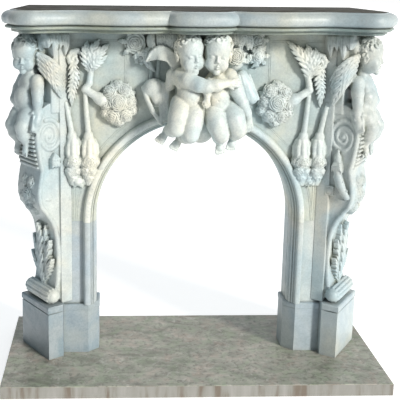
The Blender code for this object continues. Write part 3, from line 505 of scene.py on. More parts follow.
def hand(clay, wrist, toward, palm, size=1.0, spread=0.9):
    """A small hand from the wrist, fingers along toward, with the back of the hand along palm."""
    toward, palm = unit(toward), unit(palm)
    side = unit(np.cross(toward, palm))
    wrist = vec(*wrist)
    middle = wrist + toward * 0.014 * size
    clay.add(ball(middle, vec(0.0125, 0.016, 0.0085) * size, (side, toward, palm)), 0.004)
    for k in range(4):
        across = (k - 1.5) * 0.0066 * size * spread
        long = (0.019, 0.023, 0.022, 0.017)[k] * size
        base = middle + side * across + toward * 0.01 * size + palm * 0.002 * size
        bend = base + toward * long * 0.55 + side * across * 0.12
        tip = bend + toward * long * 0.5 - palm * 0.006 * size
        path(clay, [(*base, 0.0044 * size), (*bend, 0.0042 * size), (*tip, 0.0034 * size)], 0.0012)
    thumb = middle - side * 0.01 * size
    path(clay, [(*thumb, 0.0048 * size), (*(thumb - side * 0.007 * size + toward * 0.01 * size),
        0.004 * size)], 0.0015)


def foot(clay, heel, toward, sole, size=1.0):
    """A small foot from the heel, with toes."""
    toward, sole = unit(toward), unit(sole)
    side = unit(np.cross(toward, sole))
    heel = vec(*heel)
    ball_of = heel + toward * 0.03 * size
    clay.add(limb(heel, ball_of, 0.0125 * size, 0.012 * size), 0.005)
    clay.add(ball(ball_of, vec(0.015, 0.012, 0.0085) * size, (side, toward, sole)), 0.004)
    for k in range(5):
        across = (k - 2) * 0.0064 * size
        base = ball_of + side * across + toward * 0.008 * size
        tip = base + toward * (0.012 - 0.0012 * abs(k - 1)) * size - sole * 0.001
        clay.add(limb(base, tip, 0.0038 * size, 0.0038 * size), 0.001)


# From clay and outlines to Blender meshes


def placed(name, data):
    """A new object in the scene."""
    obj = bpy.data.objects.new(name, data)
    bpy.context.scene.collection.objects.link(obj)
    return obj


def mesh_of(name, points, faces):
    """A mesh object from arrays of points and of quads or triangles."""
    mesh = bpy.data.meshes.new(name)
    mesh.from_pydata(points.tolist(), [], faces.tolist())
    mesh.validate()
    return placed(name, mesh)


def baked(obj):
    """Replace an object's mesh by its evaluated mesh."""
    graph = bpy.context.evaluated_depsgraph_get()
    graph.update()
    mesh = bpy.data.meshes.new_from_object(obj.evaluated_get(graph))
    obj.modifiers.clear()
    obj.data = mesh
    return obj


def coordinates(obj, kind="co"):
    found = np.zeros(len(obj.data.vertices) * 3, np.float32)
    obj.data.vertices.foreach_get(kind, found)
    return found.reshape(-1, 3).astype(float)


def fired(clay, name, world, triangles, keep=None):
    """Skin a clay block, thin it, mark its hollows and put it in place with a mapping to world points."""
    points, quads = clay.skin()
    if keep is not None:
        centre = points[quads].mean(axis=1)
        quads = quads[keep(centre)]
    obj = mesh_of(name, points, quads)
    if 2 * len(quads) > triangles:
        thin = obj.modifiers.new("thin", "DECIMATE")
        thin.ratio = triangles / (2 * len(quads))
        thin.use_collapse_triangulate = True
        baked(obj)
    obj.data.shade_smooth()
    points = coordinates(obj)
    normals = coordinates(obj, "normal")
    # How enclosed each point is, sampled from the clay; the stones darken by it, as dirt and painted shade in
    # the hollows
    hollow = np.zeros(len(points))
    for reach, weight in ((0.004, 0.4), (0.009, 0.35), (0.018, 0.25)):
        hollow += weight * np.clip(1 - clay.sample(points + normals * reach) / reach, 0, 1)
    found = obj.data.attributes.new("hollow", "FLOAT", "POINT")
    found.data.foreach_set("value", hollow.astype(np.float32))
    obj.data.vertices.foreach_set("co", world(points).astype(np.float32).ravel())
    axes = world(np.vstack([np.zeros(3), np.eye(3)]))
    if np.linalg.det(axes[1:] - axes[0]) < 0:
        obj.data.flip_normals()
    obj.data.update()
    return obj


def on_front(side):
    """The mapping from a front block's axes to world points, mirrored for side -1."""
    return lambda p: np.stack([side * p[:, 0], FACE_Y - p[:, 1], p[:, 2]], axis=1)


def joined(name, pieces):
    """Several meshes as one object."""
    with bpy.context.temp_override(active_object=pieces[0], selected_editable_objects=pieces):
        bpy.ops.object.join()
    pieces[0].name = name
    return pieces[0]


def lofted(name, rings, closed=True, caps=True, angle=40):
    """Skin a run of rings."""
    bm = bmesh.new()
    loops = [[bm.verts.new(point) for point in ring] for ring in rings]
    count = len(loops[0])
    for low, high in zip(loops, loops[1:]):
        for i in range(count if closed else count - 1):
            j = (i + 1) % count
            bm.faces.new((low[i], low[j], high[j], high[i]))
    if caps:
        bm.faces.new(loops[0][::-1])
        bm.faces.new(loops[-1])
    bmesh.ops.recalc_face_normals(bm, faces=bm.faces)
    mesh = bpy.data.meshes.new(name)
    bm.to_mesh(mesh)
    bm.free()
    mesh.shade_smooth()
    mesh.set_sharp_from_angle(angle=math.radians(angle))
    return placed(name, mesh)


def inset(outline, distance):
    """Move each side of a closed plan outline inward; the outline runs anticlockwise."""
    moved = []
    count = len(outline)
    for i, point in enumerate(outline):
        here = Vector(point)
        before = (here - Vector(outline[i - 1])).normalized()
        after = (Vector(outline[(i + 1) % count]) - here).normalized()
        inward = Vector((-before.y - after.y, before.x + after.x))
        lean = max(0.35, inward.length_squared / 4)
        moved.append(tuple(here + inward * (0.5 * distance / lean)))
    return moved


# Materials


class Paint:
    """A node tree with short calls for what the stones, the floor and the sky need."""

    def __init__(self, made, surface="Principled BSDF", place="Object"):
        self.made = made
        made.use_nodes = True
        self.tree = made.node_tree
        self.surface = self.tree.nodes[surface]
        self.place = self.node("ShaderNodeTexCoord").outputs[place]

    def node(self, kind, **settings):
        found = self.tree.nodes.new(kind)
        for key, value in settings.items():
            setattr(found, key, value)
        return found

    def feed(self, value, socket):
        """Put a value or another node's output into a socket."""
        if hasattr(value, "is_output"):
            self.tree.links.new(value, socket)
        elif isinstance(value, tuple):
            socket.default_value = (*value, 1)
        else:
            socket.default_value = value

    def parts(self, vector):
        split = self.node("ShaderNodeSeparateXYZ")
        self.feed(vector, split.inputs["Vector"])
        return split.outputs

    def noise(self, scale, detail=4.0, rough=0.55, warp=0.0, stretch=(1, 1, 1)):
        laid = self.node("ShaderNodeMapping")
        laid.inputs["Scale"].default_value = stretch
        self.feed(self.place, laid.inputs["Vector"])
        found = self.node("ShaderNodeTexNoise")
        for key, value in (("Scale", scale), ("Detail", detail), ("Roughness", rough), ("Distortion", warp)):
            found.inputs[key].default_value = value
        self.feed(laid.outputs["Vector"], found.inputs["Vector"])
        return found.outputs["Fac"]

    def ramp(self, source, *stops):
        found = self.node("ShaderNodeValToRGB")
        cells = found.color_ramp.elements
        while len(cells) < len(stops):
            cells.new(0.5)
        for cell, (place, tone) in zip(cells, stops):
            cell.position = place
            cell.color = (tone, tone, tone, 1) if isinstance(tone, (int, float)) else (*tone, 1)
        self.feed(source, found.inputs["Fac"])
        return found.outputs["Color"]

    def mix(self, share, first, second, how="MIX"):
        found = self.node("ShaderNodeMix", data_type="RGBA", blend_type=how)
        for value, number in ((share, 0), (first, 6), (second, 7)):
            self.feed(value, found.inputs[number])
        return found.outputs[2]

    def sum(self, first, second, how="ADD", clamp=True):
        found = self.node("ShaderNodeMath", operation=how, use_clamp=clamp)
        self.feed(first, found.inputs[0])
        self.feed(second, found.inputs[1])
        return found.outputs[0]

    def rise(self, value, low, high):
        """From 0 at low to 1 at high."""
        found = self.node("ShaderNodeMapRange")
        found.inputs["From Min"].default_value = low
        found.inputs["From Max"].default_value = high
        self.feed(value, found.inputs["Value"])
        return found.outputs["Result"]

    def bump(self, source, strength, distance):
        found = self.node("ShaderNodeBump")
        found.inputs["Strength"].default_value = strength
        found.inputs["Distance"].default_value = distance
        self.feed(source, found.inputs["Height"])
        self.feed(found.outputs["Normal"], self.surface.inputs["Normal"])

    def coat(self, **values):
        """Put colour, roughness and the like on the surface, named with _ for a space."""
        for key, value in values.items():
            self.feed(value, self.surface.inputs[key.replace("_", " ")])


def marble(name, cool, mild, warm, grime_and_shade=0.75, axis="Z", origin=0.0, scale=0.0, tints=()):
    """Honed white marble: cool and warm clouds, faint grey veins, small pits, and dirt with painted shade in
    the hollows.

    Where there are tints, its tone also changes along one axis of the mantel."""
    paint = Paint(bpy.data.materials.new(name))
    clouds = paint.ramp(paint.noise(4.5, 3.0, 0.5, 0.6), (0.36, cool), (0.5, mild), (0.66, warm))
    fine = paint.ramp(paint.noise(26, 6.0, 0.62), (0.3, (0.76, 0.8, 0.82)), (0.62, (1.0, 1.0, 1.0)))
    body = paint.mix(0.7, clouds, fine, "MULTIPLY")
    tooled = paint.ramp(paint.noise(170, 3.0, 0.55), (0.34, (0.84, 0.86, 0.85)), (0.6, (1.05, 1.05, 1.04)))
    body = paint.mix(0.6, body, tooled, "MULTIPLY")
    if tints:
        place = paint.parts(paint.node("ShaderNodeNewGeometry").outputs["Position"])[axis]
        away = paint.sum(paint.sum(place, origin, "SUBTRACT", False), scale, "MULTIPLY")
        body = paint.mix(1.0, body, paint.ramp(away, *tints), "MULTIPLY")
    veins = paint.ramp(paint.noise(5.5, 7.0, 0.6, 1.8, (1, 1, 0.6)), (0.47, 0.0), (0.5, 0.3), (0.53, 0.0))
    body = paint.mix(veins, body, (0.42, 0.46, 0.48))
    pits = paint.ramp(paint.noise(150, 2.0, 0.5), (0.66, 0.0), (0.74, 0.45))
    body = paint.mix(pits, body, (0.34, 0.36, 0.33))
    # Dirt and painted shade: where a point is enclosed, by occlusion and by the clay's hollow measure, a dark
    # olive grey is mixed in
    close = paint.node("ShaderNodeAmbientOcclusion", samples=6)
    close.inputs["Distance"].default_value = 0.022
    occlusion_shade = paint.ramp(close.outputs["AO"], (0.25, 1.0), (0.8, 0.0))
    read = paint.node("ShaderNodeAttribute", attribute_name="hollow")
    carved = paint.ramp(read.outputs["Fac"], (0.38, 0.0), (0.76, 1.0))
    patchy = paint.ramp(paint.noise(9, 4.0, 0.6), (0.3, 0.45), (0.65, 1.0))
    dirt_and_shade = paint.sum(paint.sum(carved, occlusion_shade), patchy, "MULTIPLY")
    dirt_and_shade = paint.sum(dirt_and_shade, grime_and_shade, "MULTIPLY")
    tone = paint.ramp(paint.noise(14, 3.0, 0.5), (0.35, (0.2, 0.21, 0.15)), (0.65, (0.27, 0.3, 0.3)))
    paint.coat(Base_Color=paint.mix(dirt_and_shade, body, tone), Specular_IOR_Level=0.45,
        Roughness=paint.ramp(paint.noise(40, 4.0), (0.3, 0.34), (0.7, 0.52)))
    paint.bump(paint.sum(paint.noise(70, 6.0, 0.6), paint.noise(260, 3.0, 0.6)), 0.4, 0.0016)
    return paint.made


def travertine(name):
    """Mottled hearth stone: grey-beige, greenish and rosy clouds, filled pores, brown streaks on the edge."""
    paint = Paint(bpy.data.materials.new(name))
    body = paint.ramp(paint.noise(7, 8.0, 0.66, 0.9, (1, 1.9, 1)), (0.3, (0.2, 0.2, 0.16)),
        (0.46, (0.33, 0.33, 0.28)), (0.56, (0.42, 0.41, 0.35)), (0.7, (0.53, 0.51, 0.45)))
    hue = paint.ramp(paint.noise(17, 5.0, 0.6, 0.5), (0.36, (0.88, 1.02, 0.86)), (0.52, (1.0, 1.0, 1.0)),
        (0.66, (1.1, 0.94, 0.92)))
    body = paint.mix(0.8, body, hue, "MULTIPLY")
    specks = paint.ramp(paint.noise(60, 6.0, 0.7), (0.36, 0.75), (0.5, 0.0))
    body = paint.mix(specks, body, (0.17, 0.17, 0.14))
    light = paint.ramp(paint.noise(34, 6.0, 0.68, 0.7), (0.56, 0.0), (0.68, 0.55))
    body = paint.mix(light, body, (0.6, 0.59, 0.54))
    # The sawn edge shows the beds end on, as upright streaks
    edge = paint.ramp(paint.noise(21, 5.0, 0.6, 0.3, (1, 1, 0.16)), (0.36, (0.16, 0.13, 0.1)),
        (0.5, (0.25, 0.245, 0.22)), (0.7, (0.31, 0.3, 0.28)))
    facing = paint.parts(paint.node("ShaderNodeNewGeometry").outputs["Normal"])
    level = paint.ramp(facing["Z"], (0.3, 0.0), (0.7, 1.0))
    paint.coat(Base_Color=paint.mix(level, edge, body), Roughness=paint.ramp(paint.noise(30, 4.0),
        (0.3, 0.28), (0.7, 0.5)))
    paint.bump(paint.noise(90, 6.0, 0.65), 0.18, 0.001)
    return paint.made


def polished_top(name):
    """The shelf's dusty, polished top, darkened to olive brown."""
    paint = Paint(bpy.data.materials.new(name))
    body = paint.ramp(paint.noise(5, 6.0, 0.6, 0.8), (0.32, (0.04, 0.036, 0.028)),
        (0.52, (0.065, 0.06, 0.045)), (0.7, (0.085, 0.085, 0.08)))
    paint.coat(Base_Color=body, Specular_IOR_Level=0.12,
        Roughness=paint.ramp(paint.noise(24, 4.0), (0.3, 0.55), (0.7, 0.8)))
    paint.bump(paint.noise(120, 5.0, 0.6), 0.12, 0.001)
    return paint.made


PLAIN = marble("marble_plain", (0.42, 0.5, 0.54), (0.5, 0.56, 0.57), (0.57, 0.58, 0.53))
CARVED = marble("marble_carved", (0.46, 0.56, 0.59), (0.57, 0.62, 0.61), (0.65, 0.64, 0.57), 0.75)
COOL = marble("marble_plinth", (0.33, 0.42, 0.49), (0.43, 0.5, 0.54), (0.51, 0.55, 0.55), 0.7)
# Darker copies for the left-hand plinths, the corner block darkest: painted shade, as the light falls from
# the right
PLINTH_LEFT_PAINTED_SHADE = marble("marble_plinth_left_painted_shade", (0.25, 0.33, 0.39), (0.33, 0.39, 0.43), (0.4, 0.44, 0.44), 0.7)
CORNER_PAINTED_SHADE = marble("marble_corner_painted_shade", (0.2, 0.28, 0.34), (0.27, 0.34, 0.38), (0.34, 0.38, 0.4), 0.7)
JAMB_RIGHT = marble("marble_jamb_right", (0.46, 0.55, 0.58), (0.56, 0.61, 0.6), (0.63, 0.62, 0.56))
# A darker, bluer copy for the left jamb: painted shade, as the light falls from the right
JAMB_LEFT_PAINTED_SHADE = marble("marble_jamb_left_painted_shade", (0.36, 0.45, 0.51), (0.45, 0.51, 0.55), (0.52, 0.55, 0.53))
# Painted light on the frieze: its ground is darkened and the work raised from it lightened, the more the
# further the work stands out from the face
RAISED_PAINTED_LIGHT = marble("marble_raised_painted_light", (0.5, 0.6, 0.63), (0.62, 0.66, 0.64), (0.7, 0.68, 0.59), 0.78, "Y", FACE_Y,
    -5.0, ((0.0, (0.87, 0.9, 0.88)), (0.05, (0.9, 0.93, 0.91)), (0.12, (1.13, 1.13, 1.13)),
    (0.5, (1.16, 1.15, 1.13))))
# Dirt has run into the shelf's lower mouldings
STAINED = marble("marble_shelf", (0.38, 0.47, 0.51), (0.49, 0.55, 0.56), (0.56, 0.58, 0.53), 0.9, "Z",
    SHELF_Z, 10.0, ((0.0, (0.5, 0.53, 0.46)), (0.22, (0.66, 0.7, 0.63)), (0.34, (1.0, 1.0, 1.0))))
HEARTH = travertine("travertine")
TOP = polished_top("shelf_polish")


def finished(obj, material, slot, *nodes):
    """Give a piece its stone and let it stand for its solids."""
    obj.data.materials.clear()
    obj.data.materials.append(material)
    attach(obj, "root")
    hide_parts(*nodes)
    return obj


# Crowning group


def crown(x, out, drop):
    return vec(x, out, SHELF_Z - GAP - drop)


def crown_path(clay, points, soft=0.006):
    path(clay, [(*crown(x, out, drop), radius) for x, out, drop, radius in points], soft)


def infant_torso(clay, neck, chest, belly, hips, wide=1.0):
    """Shoulders, chest, belly and hips with soft infant folds."""
    clay.add(limb(neck, chest, 0.02, 0.036), 0.008)
    clay.add(ball(chest, vec(0.042, 0.036, 0.034) * wide), 0.012)
    clay.add(ball(belly, vec(0.046, 0.044, 0.046) * wide), 0.014)
    clay.add(ball(hips, vec(0.05, 0.044, 0.038) * wide), 0.014)


def build_group():
    clay = Clay((-0.232, -0.004, SHELF_Z - 0.442), (0.222, 0.205, SHELF_Z + 0.002), GROUP_CELL)
    # Backing stone that ties the figures to the frieze
    for x, drop, rx, rz in ((0.0, 0.12, 0.1, 0.13), (0.0, 0.25, 0.085, 0.1)):
        clay.add(ball(crown(x, 0.006, drop), (rx, 0.05, rz)), 0.012)
    clay.add(ball(crown(0.01, 0.04, 0.325), (0.052, 0.058, 0.06)), 0.012)
    # Ground of the feathers over the left wing
    clay.add(ball(crown(-0.122, 0.022, 0.03), (0.06, 0.036, 0.052)), 0.006)
    # Wing of the left infant: a hollow arched vane from the shoulder, with feathers up to the shelf
    left_arch = [(-0.068, 0.072, 0.17), (-0.074, 0.078, 0.136), (-0.087, 0.08, 0.103),
        (-0.107, 0.078, 0.079), (-0.142, 0.072, 0.07), (-0.164, 0.062, 0.08), (-0.183, 0.05, 0.097)]
    spine = [crown(*p) for p in catmull(left_arch, 3)]
    leaf(clay, spine, (0.012, 0.015, 0.018, 0.02, 0.022, 0.016, 0.004),
        (0.008, 0.011, 0.013, 0.013, 0.012, 0.009, 0.005), soft=0.003, steps=1, normal=(0, 1, 0.05),
        cup=-0.15, vein=0, deep=0.05)
    rim = catmull([(-0.058, 0.15), (-0.068, 0.118), (-0.085, 0.078), (-0.106, 0.056), (-0.14, 0.046),
        (-0.164, 0.062), (-0.183, 0.096)], 3)
    path(clay, [(*crown(x, 0.084 - 0.3 * max(0, -x - 0.12), drop), 0.0046) for x, drop in rim], 0.002)
    for k in range(9):
        q = k / 8
        foot_at = rim[int(5 + q * 9)]
        root = crown(foot_at[0], 0.078 - 0.022 * q, foot_at[1] + 0.004)
        tip = crown(foot_at[0] + 0.006 - 0.01 * q, 0.062 - 0.022 * q, -0.012)
        leaf(clay, [root, between(root, tip, -0.002, 0.01, 0), tip], (0.006, 0.0072, 0.0072, 0.006),
            (0.008, 0.01, 0.009, 0.006), 0, 6, 0.0008, cup=0.5, deep=0.045, vein=0.3, lean=2.2)
    for k in range(4):
        root = crown(-0.17 - 0.008 * k, 0.03 - 0.006 * k, 0.056 + 0.004 * k)
        tip = crown(-0.182 - 0.012 * k, 0.014, 0.104 - 0.006 * k)
        leaf(clay, [root, between(root, tip, -0.002, 0.006, 0.002), tip], (0.007, 0.01, 0.004),
            (0.01, 0.012, 0.004), 4, 6, 0.0015, 1, cup=0.4, deep=0.03)
    # Wing of the right infant: feathers that hang from the shelf over two curled blooms
    for k in range(9):
        x = 0.086 + 0.0098 * k
        fall = 0.05 + 0.01 * math.sin(1.9 * k) + 0.012 * (k < 2)
        root = crown(x, 0.058 - 0.002 * k, -0.012)
        tip = crown(x + 0.004 + 0.0012 * k, 0.06 - 0.0026 * k, fall)
        leaf(clay, [root, between(root, tip, 0.003, 0.01, 0), tip], (0.007, 0.0085, 0.0085, 0.004),
            (0.009, 0.012, 0.011, 0.006), 0, 7, 0.001, cup=0.5, deep=0.045, vein=0.25, lean=1.8)
    clay.add(ball(crown(0.124, 0.03, 0.086), (0.036, 0.03, 0.046)), 0.006)
    clay.add(flower(crown(0.122, 0.064, 0.08), (-0.1, 1, 0.1), 0.0285, 0.018, "rose", 0.4, 0.04), 0.002)
    for x, drop, radius in ((0.122, 0.08, 0.028), (0.158, 0.084, 0.016)):
        for turn in (3.6, 4.4, 5.2, 6.0, 0.2):
            root = crown(x, 0.046, drop) + vec(0.7 * radius * math.cos(turn), 0,
                0.7 * radius * math.sin(turn))
            tip = root + vec(0.9 * radius * math.cos(turn), -0.012, 0.9 * radius * math.sin(turn))
            leaf(clay, [root, between(root, tip, 0, 0.006, 0), tip], (0.008, 0.011, 0.003),
                (0.009, 0.011, 0.003), 4, 5, 0.0015, 1, deep=0.025)
    # Bodies: chest, round belly and hips, soft folds at the waist and groin
    for neck, chest, belly, hips in (
        ((-0.042, 0.09, 0.122), (-0.048, 0.092, 0.158), (-0.036, 0.108, 0.206), (-0.046, 0.1, 0.244)),
        ((0.053, 0.09, 0.124), (0.056, 0.094, 0.16), (0.055, 0.11, 0.21), (0.066, 0.1, 0.25)),
    ):
        infant_torso(clay, crown(*neck), crown(*chest), crown(*belly), crown(*hips), 0.98)
        for turn in (-1, 1):
            clay.add(ball(crown(chest[0] + turn * 0.019, 0.116, 0.166), (0.02, 0.014, 0.016)), 0.01)
            clay.cut(limb(crown(hips[0] + turn * 0.006, 0.15, hips[2] + 0.022),
                crown(hips[0] + turn * 0.04, 0.14, hips[2] - 0.016), 0.0022, 0.0014), 0.008)
        clay.cut(ball(crown(belly[0], 0.153, belly[2] + 0.01), (0.0035, 0.005, 0.0025)), 0.003)
    # Arms: one across the other's chest, a small hand below it, one down to the drapery
    crown_path(clay, ((-0.07, 0.102, 0.14, 0.027), (-0.046, 0.132, 0.152, 0.0275),
        (-0.008, 0.154, 0.166, 0.025), (0.014, 0.16, 0.17, 0.022), (0.046, 0.16, 0.166, 0.02),
        (0.076, 0.154, 0.16, 0.0145)))
    hand(clay, crown(0.074, 0.154, 0.16), (1, -0.1, 0.05), (0, 1, 0.1), 1.15)
    crown_path(clay, ((0.028, 0.126, 0.16, 0.017), (0.018, 0.148, 0.192, 0.013), (0.017, 0.154, 0.208, 0.01)))
    hand(clay, crown(0.017, 0.156, 0.204), (0, 0.05, -1), (0, 1, 0), 0.8)
    crown_path(clay, ((0.098, 0.096, 0.142, 0.027), (0.118, 0.122, 0.186, 0.024),
        (0.14, 0.126, 0.23, 0.0205), (0.158, 0.114, 0.266, 0.017), (0.164, 0.106, 0.282, 0.014)))
    hand(clay, crown(0.165, 0.104, 0.276), (0.06, -0.05, -1), (0.1, 1, 0.1), 1.2)
    crown_path(clay, ((-0.092, 0.078, 0.142, 0.024), (-0.1, 0.06, 0.18, 0.018)))
    # Legs: full thighs that come forward to round knees, shins that fold back, feet that hang
    for hip, knee, ankle, toe in (
        ((-0.066, 0.106, 0.234), (-0.083, 0.146, 0.312), (-0.108, 0.098, 0.33), (-0.126, 0.104, 0.352)),
        ((-0.02, 0.108, 0.246), (-0.037, 0.148, 0.334), (-0.062, 0.1, 0.352), (-0.078, 0.108, 0.374)),
        ((0.04, 0.108, 0.256), (0.066, 0.148, 0.332), (0.068, 0.098, 0.358), (0.07, 0.106, 0.382)),
        ((0.102, 0.104, 0.25), (0.124, 0.144, 0.318), (0.118, 0.096, 0.346), (0.112, 0.104, 0.372)),
    ):
        thigh = between(hip, knee, 0, 0.012, 0)
        crown_path(clay, catmull([(*hip, 0.0345), (*thigh, 0.037), (*knee, 0.03)], 3), 0.003)
        clay.add(ball(crown(knee[0], knee[1] + 0.002, knee[2]), (0.03, 0.029, 0.03)), 0.006)
        shin = between(knee, ankle, 0, 0, 0.002)
        crown_path(clay, ((*knee, 0.0265), (*shin, 0.026), (*ankle, 0.018)), 0.004)
        start, end = crown(*ankle), crown(*toe)
        foot(clay, start, end - start, vec(0.1, 1, 0.2), 1.05)
    # A narrow end of cloth between the thighs, and its band around the hips
    for x, drop, lean in ((-0.04, 0.262, 0.004), (0.072, 0.268, 0.01)):
        for k in range(3):
            top = crown(x + 0.006 * (k - 1), 0.146, drop - 0.006)
            low = crown(x + lean + 0.0085 * (k - 1), 0.15, drop + 0.032 - 0.007 * abs(k - 1))
            path(clay, [(*top, 0.0045), (*between(top, low, 0, 0.004, 0), 0.0062), (*low, 0.0042)], 0.0015)
    # Drapery, bag and ribbon at the left, roll of drapery at the right
    for x, wide in ((-0.16, 0.008), (-0.138, 0.009)):
        crown_path(clay, ((x, -0.001, 0.085, wide), (x - 0.002, -0.001, 0.12, wide),
            (x - 0.004, 0.001, 0.165, wide)), 0.003)
    clay.add(ball(crown(-0.154, 0.03, 0.196), (0.04, 0.034, 0.036)), 0.004)
    clay.add(ball(crown(-0.142, 0.034, 0.226), (0.03, 0.03, 0.034)), 0.008)
    for k in range(4):
        clay.cut(limb(crown(-0.184 + 0.018 * k, 0.066, 0.168), crown(-0.172 + 0.014 * k, 0.068, 0.236),
            0.0022, 0.0014), 0.005)
    crown_path(clay, ((-0.192, 0.03, 0.192, 0.007), (-0.18, 0.05, 0.226, 0.008),
        (-0.16, 0.068, 0.268, 0.008), (-0.13, 0.084, 0.308, 0.0075)), 0.002)
    for k, x in enumerate((-0.104, -0.114, -0.124)):
        crown_path(clay, ((x, 0.056 - 0.006 * k, 0.176, 0.0075),
            (x - 0.008, 0.066 - 0.004 * k, 0.236, 0.0085), (x - 0.004, 0.082, 0.296, 0.0085)), 0.003)
    clay.add(limb(crown(0.15, 0.03, 0.15), crown(0.182, 0.034, 0.222), 0.022, 0.028), 0.004)
    for k in range(5):
        clay.add(limb(crown(0.136 + 0.01 * k, 0.05 - 0.001 * k * k, 0.146),
            crown(0.16 + 0.012 * k, 0.056 - 0.0012 * k * k, 0.228), 0.005, 0.007), 0.002)
    # Heads
    head(clay, crown(-0.04, 0.106, 0.062), (0.42, 1, -0.12), 0.1, 3, 1.04, HEAD_TALL)
    head(clay, crown(0.053, 0.108, 0.063), (-0.08, 1, -0.1), -0.06, 5, 1.05, HEAD_TALL)
    clay.cut(slab((-0.3, -0.05, SHELF_Z - GAP), (0.3, 0.3, SHELF_Z + 0.1), 0), 0.0005)
    obj = fired(clay, "keystone_putti_carved", on_front(1), MOST_TRIANGLES, lambda c: c[:, 1] > -0.002)
    return finished(obj, RAISED_PAINTED_LIGHT, "carved_marble", "keystone_putti")


# Frieze and arch


def archivolt_profile():
    """Section of the arch moulding: distance from the opening, and out from the face."""
    wide, out = ARCHIVOLT_WIDE, ARCHIVOLT_OUT
    shares = [(0.0, -1.9), (0.03, -1.86), (0.03, -1.5), (0.0, -1.46), (0.0, -0.95), (0.04, -0.8),
        (0.05, -0.52), (0.12, -0.46), (0.13, -0.02), (0.15, 0.02), (0.235, 0.02), (0.25, -0.1),
        (0.275, -0.1), (0.29, 0.3), (0.38, 0.4), (0.395, 0.3), (0.41, 0.34), (0.425, 0.64), (0.46, 0.8),
        (0.52, 0.93), (0.59, 1.0), (0.72, 1.0), (0.82, 0.96), (0.89, 0.84), (0.94, 0.64), (0.97, 0.4),
        (1.0, -0.05)]
    return [(a * wide, b * out) for a, b in shares]


